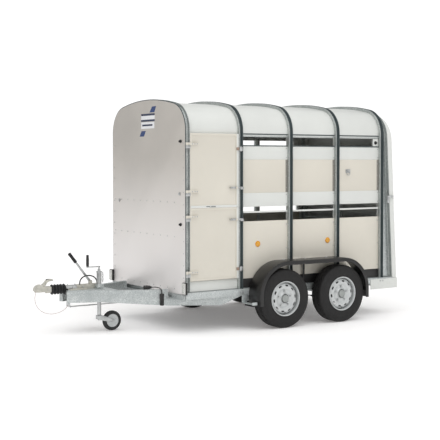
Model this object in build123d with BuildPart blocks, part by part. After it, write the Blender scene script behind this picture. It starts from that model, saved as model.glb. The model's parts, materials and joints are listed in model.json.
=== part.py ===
"""Twin-axle livestock trailer: hooped body, two-part side door and rear ramp. Millimetres.

The origin is on the ground, midway along and across the trailer. +Z is up, the drawbar points
along -Y, and the side doors are on the +X side.
"""

import os
from math import cos, pi, radians, sin, tan

from build123d import *

os.makedirs("parts", exist_ok=True)

# Clearances
SEAT = 0.3  # between pieces that are bolted or welded together
RUN = 0.08  # radial, a shaft in its bearing

# Body
BODY_HALF = 740.0  # half width over the side panels
BAY = 630.0  # pitch of the hoops
BAYS = 4
EAVE = 2006.0  # where the sides turn into the roof
CORNER = 255.0  # roof corner radius
CORNER_TURN = 78.0  # degrees, the rest of the turn is the crown of the roof
HOOP_W = 48.0
HOOP_D = 30.0
HOOP_WALL = 4.0
PANEL_T = 18.0
PLANK_T = 25.0
ROOF_T = 3.0
FRONT_T = 3.0
FRONT_GROW = 22.0  # the front sheet's edge outside the side panels
FRONT_BOTTOM = 393.0

# Ends, measured from the first hoop
NOSE_REACH = 1280.0
REAR_REACH = BAYS * BAY + 235.0
FRONT = (NOSE_REACH - REAR_REACH) / 2
HOOPS = [FRONT + BAY * i for i in range(BAYS + 1)]

# Chassis
SILL_Z = 345.0
SILL_H = 67.0
SILL_HALF = 765.0
SILL_W = 65.0
STEEL = 4.0
FLOOR_T = 6.0
SILL_TOP = SILL_Z + SILL_H
FLOOR_TOP = SILL_TOP + SEAT + FLOOR_T

# Side wall levels
LOWER_PANEL = (512.0, 1093.0)
LOWER_PLANK = (1241.0, 1381.7)
MIDDLE_PANEL = (1382.0, 1722.7)
UPPER_PLANK = (1723.0, 1858.0)
TOP_RAIL = (1953.0, 1987.7)
VENT_RAIL = (1178.0, 1196.0)
ROOF_EDGE = 1988.0

# Wheels
TYRE_R = 303.0
TYRE_IN = 795.0
TYRE_W = 165.0
RIM_R = 171.5
STUB_R = 15.0
AXLES = [FRONT + 1055.0, FRONT + 1803.0]
AXLE_Z = TYRE_R
BEAM = 50.0
GUARD_IN = SILL_HALF + 6.0
GUARD_OUT = 975.0
GUARD_R = 345.0
GUARD_TOP = 685.0
GUARD_FOOT = 245.0
GUARD_T = 3.0
GUARD_LIP = 40.0

# Drawbar and coupling
RAIL_FRONT = (67.0, FRONT - 970.0)
RAIL_REAR = (745.0, FRONT + 650.0)
RAIL_TOP = 425.0
RAIL_T = 44.0
RAIL_WALL = 5.0
PLATE_T = 8.0
SHAFT_Z = 445.0
SHAFT_R = 25.0
BALL_Y = FRONT - 1235.0
BALL_R = 25.2
HEAD_REAR = FRONT - 1114.0
HOUSING_FRONT = FRONT - 955.0
OVERRUN = 90.0
LEVER_Y = FRONT - 681.0
LEVER_Z = 497.0
LEVER_TILT = 52.0  # degrees above the horizontal
LEVER_LENGTH = 372.0

# Jockey wheel
JOCKEY_X = 75.0
JOCKEY_Y = FRONT - 620.0
JOCKEY_R = 100.0
JOCKEY_TRAIL = 140.0
JOCKEY_TUBE_R = 24.0
JOCKEY_INNER_R = 20.0
JOCKEY_TOP = 606.0
CRANK_ARM = 126.0

# Doors
DOOR_HALF_X = (742.0, 767.0)
DOOR_Y = (HOOPS[0] + 28.0, HOOPS[1] - 28.0)
DOOR_SPLIT = 1245.0
DOOR_BOTTOM = 524.0
DOOR_TOP = 1980.0
PIVOT = (785.0, FRONT - 20.0)
PIN_R = 6.0
HINGE_LEVELS = {"upper_door": (1860.0, 1393.0), "lower_door": (1145.0, 597.0)}
LATCH_LEVELS = {"upper_door": 1440.0, "lower_door": 1120.0}
LATCH_Y = DOOR_Y[1] - 30.0

# Ramp and rear frame
LEAN = 2.9  # degrees, the ramp leans forward at the top
RAMP_T = 60.0
RAMP_FOOT = 361.0
RAMP_OUT_Y = FRONT + 2750.0
RAMP_GROW = 22.0
RAMP_DROP = 60.0
PIN_Z = 378.0
PIN_Y = RAMP_OUT_Y - RAMP_T / 2 - (PIN_Z - RAMP_FOOT) * tan(radians(LEAN))
RAMP_PIN_R = 8.0
RAMP_SWEEP = 36.0  # clear radius round the ramp's hinge
SILL_REAR = PIN_Y - RAMP_SWEEP
REAR_SILL_Z = 288.0
REAR_SILL_FRONT = FRONT + 2362.0

# Inner gates
GATE_Y = FRONT + 2564.0
GATE_TUBE_R = 14.0
GATE_HINGE_X = 695.0
GATE_Z = (470.0, 1500.0)
GATE_PIN_R = 7.0

SIDES = {"left": 1, "right": -1}


def save(part: Part, name: str) -> None:
    """Labels a finished piece and writes it under its own name."""
    part.label = name
    export_step(part, f"parts/{name}.step")


def block(x: tuple, y: tuple, z: tuple, mode: Mode = Mode.ADD) -> None:
    """A rectangular piece between two corners, in the part being built."""
    with Locations(((x[0] + x[1]) / 2, (y[0] + y[1]) / 2, (z[0] + z[1]) / 2)):
        Box(abs(x[1] - x[0]), abs(y[1] - y[0]), abs(z[1] - z[0]), mode=mode)


def rod(start: tuple, end: tuple, radius: float, mode: Mode = Mode.ADD) -> None:
    """A round bar between two points, in the part being built."""
    along = Vector(*end) - Vector(*start)
    with BuildSketch(Plane(origin=start, z_dir=along)) as disc:
        Circle(radius)
    extrude(disc.sketch, amount=along.length, mode=mode)


def across(y: float) -> Plane:
    """The upright plane across the trailer at y, seen from the front."""
    return Plane.XZ.offset(-y)


def arch_edges(grow: float, bottom: float, drop: float = 0.0) -> ShapeList:
    """The body's cross-section, straight sides and a domed roof, grow mm outside the panels."""
    radius = CORNER + grow
    half = BODY_HALF + grow
    eave = EAVE - drop
    turn = radians(CORNER_TURN)
    points = [
        (half - radius * (1 - cos(angle)), eave + radius * sin(angle)) for angle in (turn / 2, turn)
    ]
    (mid_x, mid_z), (end_x, end_z) = points
    crown = end_z + end_x / cos(turn) * (1 - sin(turn))
    with BuildLine() as outline:
        side = Line((half, bottom), (half, eave))
        bend = ThreePointArc(side @ 1, (mid_x, mid_z), (end_x, end_z))
        roof = ThreePointArc(bend @ 1, (0, crown), (-end_x, end_z))
        far_bend = ThreePointArc(roof @ 1, (-mid_x, mid_z), (-half, eave))
        far_side = Line(far_bend @ 1, (-half, bottom))
        Line(far_side @ 1, side @ 0)
    return outline.edges()


def arch_face(plane: Plane, grow: float, bottom: float, drop: float = 0.0) -> Sketch:
    """The whole cross-section as a face."""
    with BuildSketch(plane) as face:
        make_face(arch_edges(grow, bottom, drop))
    return face.sketch


def arch_band(plane: Plane, inner: float, outer: float, bottom: float, drop: float = 0.0) -> Sketch:
    """The ring between two cross-sections, open at the bottom."""
    with BuildSketch(plane) as band:
        make_face(arch_edges(outer, bottom, drop))
        make_face(arch_edges(inner, bottom, drop), mode=Mode.SUBTRACT)
    return band.sketch


def arch_channel(
    rear: Plane, width: float, inner: float, outer: float, bottom: float, drop: float = 0.0
) -> None:
    """A channel bent to the cross-section, open outward, in the part being built."""
    front = rear.offset(width - HOOP_WALL)
    extrude(arch_band(rear, inner, inner + HOOP_WALL, bottom, drop), amount=width)
    extrude(arch_band(rear, inner, outer, bottom, drop), amount=HOOP_WALL)
    extrude(arch_band(front, inner, outer, bottom, drop), amount=HOOP_WALL)


def profile(plane: Plane, points: list) -> Sketch:
    """A closed outline of straight lines on a plane."""
    with BuildSketch(plane) as face:
        with BuildLine():
            Polyline(*points, close=True)
        make_face()
    return face.sketch


def wheel_plane(x: float, y: float, z: float) -> Plane:
    """The plane through an axle whose local x runs along the axle."""
    return Plane(origin=(x, y, z), x_dir=(1, 0, 0), z_dir=(0, -1, 0))


def turned(plane: Plane, points: list) -> Part:
    """A piece turned about its plane's local x axis, from half of its section."""
    with BuildPart() as piece:
        revolve(profile(plane, points), axis=Axis(plane.origin, plane.x_dir))
    return piece.part


# ---- Chassis ---------------------------------------------------------------------------------


def rail_plane(out: float) -> Plane:
    """The upright plane along the left drawbar rail, out mm outside its centre line."""
    run = Vector(RAIL_REAR[0] - RAIL_FRONT[0], RAIL_REAR[1] - RAIL_FRONT[1], 0).normalized()
    outward = Vector(run.Y, -run.X, 0)
    start = Vector(RAIL_FRONT[0], RAIL_FRONT[1], 0) + outward * out
    return Plane(origin=(start.X, start.Y, 0), x_dir=(run.X, run.Y, 0), z_dir=(outward.X, outward.Y, 0))


def rail_x(y: float) -> float:
    """Half the spacing of the drawbar rails' centre lines at y."""
    share = (y - RAIL_FRONT[1]) / (RAIL_REAR[1] - RAIL_FRONT[1])
    return RAIL_FRONT[0] + share * (RAIL_REAR[0] - RAIL_FRONT[0])


RAIL_RUN = Vector(RAIL_REAR[0] - RAIL_FRONT[0], RAIL_REAR[1] - RAIL_FRONT[1], 0)
RAIL_LENGTH = RAIL_RUN.length
RAIL_SLOPE = RAIL_RUN.length / RAIL_RUN.Y  # length of rail per mm of Y
UNDER_SILL = SILL_Z - SEAT


def rail_outline(inset: float) -> list:
    """The side view of a drawbar rail, which dives under the body behind its front edge."""
    step = (FRONT - 45.0 - RAIL_FRONT[1]) * RAIL_SLOPE
    knee = (FRONT - 660.0 - RAIL_FRONT[1]) * RAIL_SLOPE
    dip = (FRONT - 60.0 - RAIL_FRONT[1]) * RAIL_SLOPE
    tail = (FRONT + 450.0 - RAIL_FRONT[1]) * RAIL_SLOPE
    return [
        (inset, 312.0 + inset),
        (knee, 312.0 + inset),
        (dip, 262.0 + inset),
        (tail, 250.0 + inset),
        (RAIL_LENGTH - 2 * inset, UNDER_SILL - inset),
        (step - inset, UNDER_SILL - inset),
        (step - inset, RAIL_TOP - inset),
        (inset, RAIL_TOP - inset),
    ]


with BuildPart() as drawbar_rails:
    extrude(profile(rail_plane(RAIL_T / 2), rail_outline(0)), amount=-RAIL_T)
    inside = rail_plane(RAIL_T / 2 - RAIL_WALL)
    extrude(profile(inside, rail_outline(RAIL_WALL)), amount=-RAIL_T, mode=Mode.SUBTRACT)
    mirror(about=Plane.YZ)
save(drawbar_rails.part, "drawbar_rails")

PLATE_Z = RAIL_TOP + SEAT
PLATE_TOP = PLATE_Z + PLATE_T
PLATE_FRONT = FRONT - 965.0
PLATE_REAR = FRONT - 520.0
CLAMP = (PLATE_TOP + SEAT, PLATE_TOP + 46.0)

with BuildPart() as coupling_plate:
    edge = RAIL_T / 2 - 4
    front_half = rail_x(PLATE_FRONT) + edge
    rear_half = rail_x(PLATE_REAR) + edge
    outline = [
        (front_half, PLATE_FRONT),
        (rear_half, PLATE_REAR),
        (-rear_half, PLATE_REAR),
        (-front_half, PLATE_FRONT),
    ]
    extrude(profile(Plane.XY.offset(PLATE_Z), outline), amount=PLATE_T)
    block((-42, 42), (PLATE_FRONT - 5, FRONT - 590.0), (PLATE_Z - 1, PLATE_TOP + 1), Mode.SUBTRACT)
    with Locations((JOCKEY_X, JOCKEY_Y, PLATE_Z)):
        Cylinder(JOCKEY_TUBE_R + 6, 3 * PLATE_T, mode=Mode.SUBTRACT)
    for side in SIDES.values():
        for y in (FRONT - 900.0, FRONT - 790.0):
            rod((side * 66.0, y, PLATE_TOP - 0.1), (side * 66.0, y, PLATE_TOP + SEAT), 6.0)
    # Clamp of the jockey wheel
    block((JOCKEY_X - 31, JOCKEY_X + 36), (JOCKEY_Y - 34, JOCKEY_Y + 34), CLAMP)
    bore = JOCKEY_TUBE_R + RUN
    rod((JOCKEY_X, JOCKEY_Y, CLAMP[0] - 1), (JOCKEY_X, JOCKEY_Y, CLAMP[1] + 1), bore, Mode.SUBTRACT)
    clamp_mid = sum(CLAMP) / 2
    rod((JOCKEY_X + 35, JOCKEY_Y - 18, clamp_mid), (JOCKEY_X + 66, JOCKEY_Y - 18, clamp_mid), 5.0)
    rod((JOCKEY_X + 61, JOCKEY_Y - 52, clamp_mid), (JOCKEY_X + 61, JOCKEY_Y + 16, clamp_mid), 5.0)
save(coupling_plate.part, "coupling_plate")

with BuildPart() as side_members:
    for side in SIDES.values():
        web = (side * (SILL_HALF - STEEL), side * SILL_HALF)
        shelf = (side * (SILL_HALF - SILL_W), side * SILL_HALF)
        span = (FRONT - HOOP_W / 2, SILL_REAR)
        block(web, span, (SILL_Z, SILL_TOP))
        block(shelf, span, (SILL_Z, SILL_Z + STEEL))
        block(shelf, span, (SILL_TOP - STEEL, SILL_TOP))
save(side_members.part, "side_members")

CROSS_HALF = SILL_HALF - SILL_W - SEAT
CROSS_W = 50.0
GUSSET_T = 8.0
FIRST_CROSS = FRONT - HOOP_W / 2 + CROSS_W / 2
CROSSES = [FIRST_CROSS + (SILL_REAR - CROSS_W / 2 - FIRST_CROSS) * i / 6 for i in range(7)]

with BuildPart() as cross_members:
    for y in CROSSES:
        span = (y - CROSS_W / 2, y + CROSS_W / 2)
        block((-CROSS_HALF, CROSS_HALF), span, (SILL_Z, SILL_TOP))
        hollow = (y - CROSS_W / 2 - 1, y + CROSS_W / 2 - STEEL)
        block((-CROSS_HALF, CROSS_HALF), hollow, (SILL_Z + STEEL, SILL_TOP - STEEL), Mode.SUBTRACT)
    # Gussets from the drawbar rails to the front corners
    gusset_y = FRONT - 80.0
    outline = [
        (rail_x(gusset_y) + RAIL_T, gusset_y),
        (SILL_HALF, FRONT - 40.0),
        (SILL_HALF, FRONT - 29.0),
        (rail_x(FRONT - 29.0) + RAIL_T, FRONT - 29.0),
    ]
    extrude(profile(Plane.XY.offset(SILL_Z - GUSSET_T - SEAT), outline), amount=GUSSET_T)
    corner = (rail_x(FRONT) + RAIL_T, SILL_HALF)
    block(corner, (FRONT - 37.0, FRONT - 29.0), (SILL_Z - GUSSET_T - SEAT, 391.0))
    block(corner, (FRONT - 30.0, FRONT + 20.0), (SILL_Z - GUSSET_T - SEAT, SILL_Z - SEAT))
    mirror(about=Plane.YZ)
save(cross_members.part, "cross_members")

with BuildPart() as floor_deck:
    half = BODY_HALF - SEAT
    block((-half, half), (FRONT - HOOP_W / 2, SILL_REAR), (SILL_TOP + SEAT, FLOOR_TOP))
save(floor_deck.part, "floor_deck")

EAR = (SILL_HALF + SEAT, SILL_HALF + 5.0)
with BuildPart() as rear_sill:
    for side in SIDES.values():
        ear = (side * EAR[0], side * EAR[1])
        block(ear, (REAR_SILL_FRONT, FRONT + REAR_REACH), (REAR_SILL_Z, REAR_SILL_Z + 110.0))
    block((-EAR[1], EAR[1]), (SILL_REAR - 80.0, SILL_REAR), (REAR_SILL_Z, UNDER_SILL))
    hollow = (REAR_SILL_Z + 5, UNDER_SILL - 5)
    block((-EAR[0], EAR[0]), (SILL_REAR - 81.0, SILL_REAR - 5.0), hollow, Mode.SUBTRACT)
    rod((-EAR[1], PIN_Y, PIN_Z), (EAR[1], PIN_Y, PIN_Z), RAMP_PIN_R)
save(rear_sill.part, "rear_sill")

# ---- Hoops, roof and walls -------------------------------------------------------------------

FOOT = SILL_TOP + SEAT

for number, hoop_y in enumerate(HOOPS, start=1):
    with BuildPart() as hoop:
        arch_channel(across(hoop_y + HOOP_W / 2), HOOP_W, 0.0, HOOP_D, FOOT)
    save(hoop.part, f"hoop_{number}")

with BuildPart() as roof_sheet:
    rear_edge = HOOPS[-1] + HOOP_W / 2
    sheet = arch_band(across(rear_edge), -SEAT - ROOF_T, -SEAT, ROOF_EDGE)
    extrude(sheet, amount=rear_edge - HOOPS[0] + HOOP_W / 2)
save(roof_sheet.part, "roof_sheet")

FRONT_FACE = FRONT - HOOP_W / 2 - SEAT - FRONT_T
with BuildPart() as front_panel:
    extrude(arch_face(across(FRONT_FACE + FRONT_T), FRONT_GROW, FRONT_BOTTOM), amount=FRONT_T)
save(front_panel.part, "front_panel")


def wall(side: int, y: tuple, z: tuple, thick: float) -> None:
    """One board or sheet of the side wall, flush with the outside, in the part being built."""
    outer = side * (BODY_HALF - SEAT)
    block((outer - side * thick, outer), y, z)


for word, side in SIDES.items():
    door_bays = 1 if word == "left" else 0
    span = (HOOPS[door_bays] - HOOP_W / 2, HOOPS[-1] + HOOP_W / 2)
    with BuildPart() as panels:
        for level in (LOWER_PANEL, MIDDLE_PANEL):
            wall(side, span, level, PANEL_T)
    save(panels.part, f"{word}_panels")
    with BuildPart() as planks:
        for level in (LOWER_PLANK, UPPER_PLANK):
            wall(side, span, level, PLANK_T)
        wall(side, (HOOPS[0] - HOOP_W / 2, span[1]), TOP_RAIL, PLANK_T)
        wall(side, span, VENT_RAIL, 6.0)
        for foot_y in HOOPS[door_bays:]:
            inner = side * (BODY_HALF - SEAT - PLANK_T)
            post = (inner - side * (6.0 + SEAT), inner - side * SEAT)
            block(post, (foot_y - 20, foot_y + 20), (LOWER_PANEL[0], TOP_RAIL[1]))
        threshold = (FLOOR_TOP + SEAT, 518.0 if door_bays else LOWER_PANEL[0] - SEAT)
        wall(side, (HOOPS[0] - HOOP_W / 2, HOOPS[1] - HOOP_W / 2 - SEAT), threshold, PANEL_T)
    save(planks.part, f"{word}_planks")

FRAME_PLANE = Plane(
    origin=(0, RAMP_OUT_Y, RAMP_FOOT), x_dir=(-1, 0, 0), z_dir=(0, cos(radians(LEAN)), sin(radians(LEAN)))
)


def lean_plane(depth: float) -> Plane:
    """A plane parallel to the ramp, depth mm in from its outer face, its local y up the ramp."""
    return FRAME_PLANE.offset(-depth)


FRAME_FRONT = RAMP_T + 2.0
FRAME_DEEP = 45.0
FRAME_FOOT = SILL_TOP + 14.0 - RAMP_FOOT
FRAME_DROP = RAMP_FOOT + 20.0

with BuildPart() as rear_frame:
    arch_channel(lean_plane(FRAME_FRONT + FRAME_DEEP), FRAME_DEEP, -20.0, RAMP_GROW, FRAME_FOOT, FRAME_DROP)
save(rear_frame.part, "rear_frame")


def lean_y(z: float, depth: float) -> float:
    """Where the plane depth mm in from the ramp's outer face stands at height z."""
    return RAMP_OUT_Y - depth / cos(radians(LEAN)) - (z - RAMP_FOOT) * tan(radians(LEAN))


with BuildPart() as quarter_panels:
    hoop_back = HOOPS[-1] + HOOP_W / 2 + SEAT
    top = 1940.0
    frame_back = FRAME_FRONT + FRAME_DEEP + SEAT
    outline = [
        (hoop_back, FOOT + 8),
        (lean_y(FOOT + 8, frame_back), FOOT + 8),
        (lean_y(top, frame_back), top),
        (hoop_back, top),
    ]
    for side in SIDES.values():
        outer = side * (BODY_HALF - SEAT)
        extrude(profile(Plane.YZ.offset(outer), outline), amount=-side * ROOF_T)
save(quarter_panels.part, "quarter_panels")

# ---- Mudguards, axles and springs ------------------------------------------------------------


def guard_outline(inset: float, x: float) -> Sketch:
    """The side view at x of a mudguard over both wheels, inset mm inside its outline."""
    radius = GUARD_R - inset
    half_turn = radius * sin(radians(45))
    front, rear = AXLES[0] + 15.0, AXLES[1] + 7.0
    centre_z = GUARD_TOP - GUARD_R
    with BuildSketch(Plane.YZ.offset(x)) as outline:
        with BuildLine():
            front_edge = Line((front - radius, GUARD_FOOT), (front - radius, centre_z))
            front_arc = ThreePointArc(
                front_edge @ 1, (front - half_turn, centre_z + half_turn), (front, centre_z + radius)
            )
            top_edge = Line(front_arc @ 1, (rear, centre_z + radius))
            rear_arc = ThreePointArc(
                top_edge @ 1, (rear + half_turn, centre_z + half_turn), (rear + radius, centre_z)
            )
            rear_edge = Line(rear_arc @ 1, (rear + radius, GUARD_FOOT))
            Line(rear_edge @ 1, front_edge @ 0)
        make_face()
    return outline.sketch


for word, side in SIDES.items():
    with BuildPart() as mudguard:
        depth = GUARD_OUT - GUARD_IN
        extrude(guard_outline(0, GUARD_OUT), amount=-depth)
        extrude(guard_outline(GUARD_LIP, GUARD_OUT), amount=-depth, mode=Mode.SUBTRACT)
        extrude(guard_outline(GUARD_T, GUARD_OUT - GUARD_T), amount=-depth, mode=Mode.SUBTRACT)
        if side < 0:
            mirror(about=Plane.YZ, mode=Mode.REPLACE)
    save(mudguard.part, f"mudguard_{word}")

with BuildPart() as guard_stays:
    for side in SIDES.values():
        for y in (AXLES[0] + 15.0 - GUARD_R + GUARD_T + 1.0, AXLES[1] + 7.0 + GUARD_R - GUARD_T - 7.0):
            stay = (side * (SILL_HALF + SEAT), side * (GUARD_OUT - GUARD_T - SEAT))
            block(stay, (y, y + 6.0), (SILL_Z - 30.0, SILL_Z + 8.0))
        for y in (AXLES[0] + 374.0,):
            stay = (side * (SILL_HALF + SEAT), side * (GUARD_OUT - GUARD_T - SEAT))
            block(stay, (y - 12, y + 12), (GUARD_TOP - GUARD_T - SEAT - 5, GUARD_TOP - GUARD_T - SEAT))
            leg = (side * (SILL_HALF + SEAT), side * (SILL_HALF + SEAT + 5))
            block(leg, (y - 12, y + 12), (SILL_Z, GUARD_TOP - GUARD_T - SEAT))
        strip = (side * (BODY_HALF - SEAT - PANEL_T), side * (BODY_HALF - SEAT))
        wing = (HOOPS[1] - HOOP_W / 2, HOOPS[-1] + HOOP_W / 2)
        block(strip, wing, (FLOOR_TOP + SEAT, LOWER_PANEL[0] - SEAT))
save(guard_stays.part, "guard_stays")

HUB_IN = TYRE_IN - 9.0
with BuildPart() as axle_beams:
    for y in AXLES:
        block((-HUB_IN + 3, HUB_IN - 3), (y - BEAM / 2, y + BEAM / 2), (AXLE_Z - BEAM / 2, AXLE_Z + BEAM / 2))
        rod((-918, y, AXLE_Z), (918, y, AXLE_Z), STUB_R)
save(axle_beams.part, "axle_beams")

SPRING_X = (704.0, 744.0)
SPRING_HALF = 325.0
EYE_Z = 297.0
EYE_R = 17.0
EYE_PIN_R = 8.0
LEAF_T = 8.0
LEAF_TOP = AXLE_Z - BEAM / 2 - 6.0


def leaf(y: float, half: float, ends_z: float, top_z: float) -> Sketch:
    """One leaf of a spring, sagging from ends_z to top_z under the axle."""
    with BuildSketch(Plane.YZ.offset(SPRING_X[0])) as section:
        with BuildLine():
            upper = ThreePointArc((y - half, ends_z), (y, top_z), (y + half, ends_z))
            end = Line(upper @ 1, (y + half, ends_z - LEAF_T))
            lower = ThreePointArc(end @ 1, (y, top_z - LEAF_T), (y - half, ends_z - LEAF_T))
            Line(lower @ 1, upper @ 0)
        make_face()
    return section.sketch


PACK_BOTTOM = LEAF_TOP - 3 * LEAF_T
with BuildPart() as leaf_springs:
    width = SPRING_X[1] - SPRING_X[0]
    for y in AXLES:
        extrude(leaf(y, SPRING_HALF, EYE_Z - 6, LEAF_TOP), amount=width)
        for turn, share in ((1, 0.72), (2, 0.46)):
            ends = (EYE_Z - 6 - LEAF_TOP) * share**2 + LEAF_TOP - turn * LEAF_T
            extrude(leaf(y, SPRING_HALF * share, ends, LEAF_TOP - turn * LEAF_T), amount=width)
        for end in (-1, 1):
            eye = y + end * SPRING_HALF
            rod((SPRING_X[0], eye, EYE_Z), (SPRING_X[1], eye, EYE_Z), EYE_R)
        for end in (-1, 1):
            eye = y + end * SPRING_HALF
            hole = EYE_PIN_R + SEAT
            rod((SPRING_X[0] - 1, eye, EYE_Z), (SPRING_X[1] + 1, eye, EYE_Z), hole, Mode.SUBTRACT)
    mirror(about=Plane.YZ)
save(leaf_springs.part, "leaf_springs")

CHEEK = 5.0
with BuildPart() as spring_hangers:
    outer_eyes = (AXLES[0] - SPRING_HALF, AXLES[1] + SPRING_HALF)
    middle = sum(AXLES) / 2
    low = EYE_Z - 14
    for cheek_x in (SPRING_X[0] - SEAT - CHEEK, SPRING_X[1] + SEAT):
        for eye in outer_eyes:
            shape = [(eye - 42, UNDER_SILL), (eye + 42, UNDER_SILL), (eye + 16, low), (eye - 16, low)]
            extrude(profile(Plane.YZ.offset(cheek_x), shape), amount=CHEEK)
        reach = AXLES[1] - SPRING_HALF - middle + 16
        top = [(middle - 50, UNDER_SILL), (middle + 50, UNDER_SILL)]
        shape = [*top, (middle + reach, low), (middle - reach, low)]
        extrude(profile(Plane.YZ.offset(cheek_x), shape), amount=CHEEK)
    for eye in (*outer_eyes, AXLES[0] + SPRING_HALF, AXLES[1] - SPRING_HALF):
        rod((SPRING_X[0] - SEAT - CHEEK, eye, EYE_Z), (SPRING_X[1] + SEAT + CHEEK, eye, EYE_Z), EYE_PIN_R)
    for y in AXLES:
        pad_top = AXLE_Z - BEAM / 2 - SEAT
        block(SPRING_X, (y - 40, y + 40), (LEAF_TOP + SEAT, pad_top))
        tie = (SPRING_X[0] - 12, SPRING_X[1] + 12)
        block(tie, (y - 40, y + 40), (PACK_BOTTOM - SEAT - 8, PACK_BOTTOM - SEAT))
        for bolt_y in (y - BEAM / 2 - 6.5, y + BEAM / 2 + 6.5):
            for bolt_x in (SPRING_X[0] - 6, SPRING_X[1] + 6):
                rod((bolt_x, bolt_y, PACK_BOTTOM - 8), (bolt_x, bolt_y, AXLE_Z + BEAM / 2 + 9), 5.0)
        for bolt_x in (SPRING_X[0] - 6, SPRING_X[1] + 6):
            top = AXLE_Z + BEAM / 2 + SEAT
            block((bolt_x - 5, bolt_x + 5), (y - BEAM / 2 - 10, y + BEAM / 2 + 10), (top, top + 9))
    mirror(about=Plane.YZ)
save(spring_hangers.part, "spring_hangers")

# ---- Wheels ----------------------------------------------------------------------------------

CORNERS = {
    "front_left": (1, AXLES[0]),
    "rear_left": (1, AXLES[1]),
    "front_right": (-1, AXLES[0]),
    "rear_right": (-1, AXLES[1]),
}
TREAD = 20.0
SLOTS = 10
STUDS = 5


def tyre_section() -> list:
    """Half of the tyre's section, (along the axle, radius)."""
    inner, outer = TYRE_IN, TYRE_IN + TYRE_W
    return [
        (inner + 17, RIM_R + SEAT),
        (inner + 2, RIM_R + 44),
        (inner, RIM_R + 64),
        (inner + 5, TYRE_R - 18),
        (inner + TREAD, TYRE_R),
        (outer - TREAD, TYRE_R),
        (outer - 5, TYRE_R - 18),
        (outer, RIM_R + 64),
        (outer - 2, RIM_R + 44),
        (outer - 17, RIM_R + SEAT),
    ]


def rim_section() -> list:
    """Half of the rim and hub's section, (along the axle, radius)."""
    face = TYRE_IN + TYRE_W - 24
    return [
        (HUB_IN, STUB_R + RUN),
        (HUB_IN, 108),
        (HUB_IN + 50, 108),
        (HUB_IN + 50, 60),
        (face - 14, 60),
        (face - 14, 96),
        (face, 140),
        (face, RIM_R - 10),
        (TYRE_IN + 10, RIM_R - 10),
        (TYRE_IN + 10, RIM_R),
        (face + 15, RIM_R),
        (face + 15, RIM_R + 8),
        (face + 21, RIM_R + 8),
        (face + 21, RIM_R - 8),
        (face + 8, 142),
        (face - 6, 94),
        (face - 6, 62),
        (face - 2, 44),
        (face + 10, 40),
        (face + 20, 34),
        (face + 20, 0),
        (face - 8, 0),
        (face - 8, STUB_R + RUN),
    ]


for word, (side, axle_y) in CORNERS.items():
    plane = wheel_plane(0, axle_y, AXLE_Z)
    with BuildPart() as tyre:
        add(turned(plane, tyre_section()))
        if side < 0:
            mirror(about=Plane.YZ, mode=Mode.REPLACE)
    save(tyre.part, f"tyre_{word}")
    with BuildPart() as rim:
        add(turned(plane, rim_section()))
        face_x = TYRE_IN + TYRE_W - 60
        with BuildSketch(Plane.YZ.offset(face_x)) as slots:
            with Locations((axle_y, AXLE_Z)):
                with PolarLocations(118, SLOTS):
                    RectangleRounded(20, 30, 6)
        extrude(slots.sketch, amount=60, mode=Mode.SUBTRACT)
        with BuildSketch(Plane.YZ.offset(TYRE_IN + TYRE_W - 32)) as studs:
            with Locations((axle_y, AXLE_Z)):
                with PolarLocations(75, STUDS, start_angle=90):
                    RegularPolygon(10, 6)
        extrude(studs.sketch, amount=18)
        if side < 0:
            mirror(about=Plane.YZ, mode=Mode.REPLACE)
    save(rim.part, f"rim_{word}")

# ---- Coupling, overrun and handbrake ---------------------------------------------------------

HOUSING_R = 33.0
CAST_FRONT = FRONT - 830.0
CAST_REAR = FRONT - 592.0
CAST_TOP = 477.0
LEVER_T = 10.0
BOSS_R = 16.0

with BuildPart() as coupling_housing:
    rod((0, HOUSING_FRONT, SHAFT_Z), (0, CAST_FRONT + 5, SHAFT_Z), HOUSING_R)
    block((-38, 38), (CAST_FRONT, CAST_REAR), (SHAFT_Z - 33, CAST_TOP))
    block((-92, 92), (FRONT - 935.0, FRONT - 755.0), (PLATE_TOP + SEAT, PLATE_TOP + 10))
    rod((0, HOUSING_FRONT - 1, SHAFT_Z), (0, CAST_REAR - 4, SHAFT_Z), SHAFT_R + RUN, Mode.SUBTRACT)
    for side in SIDES.values():
        ear = (side * (LEVER_T / 2 + 1), side * (LEVER_T / 2 + 9))
        block(ear, (LEVER_Y - 15, LEVER_Y + 15), (CAST_TOP - 1, LEVER_Z + 14))
        for y in (FRONT - 900.0, FRONT - 790.0):
            rod((side * 66.0, y, PLATE_TOP + 9), (side * 66.0, y, PLATE_TOP + 18), 10.0)
    rod((-LEVER_T / 2 - 9, LEVER_Y, LEVER_Z), (LEVER_T / 2 + 9, LEVER_Y, LEVER_Z), RAMP_PIN_R)
save(coupling_housing.part, "coupling_housing")

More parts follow.
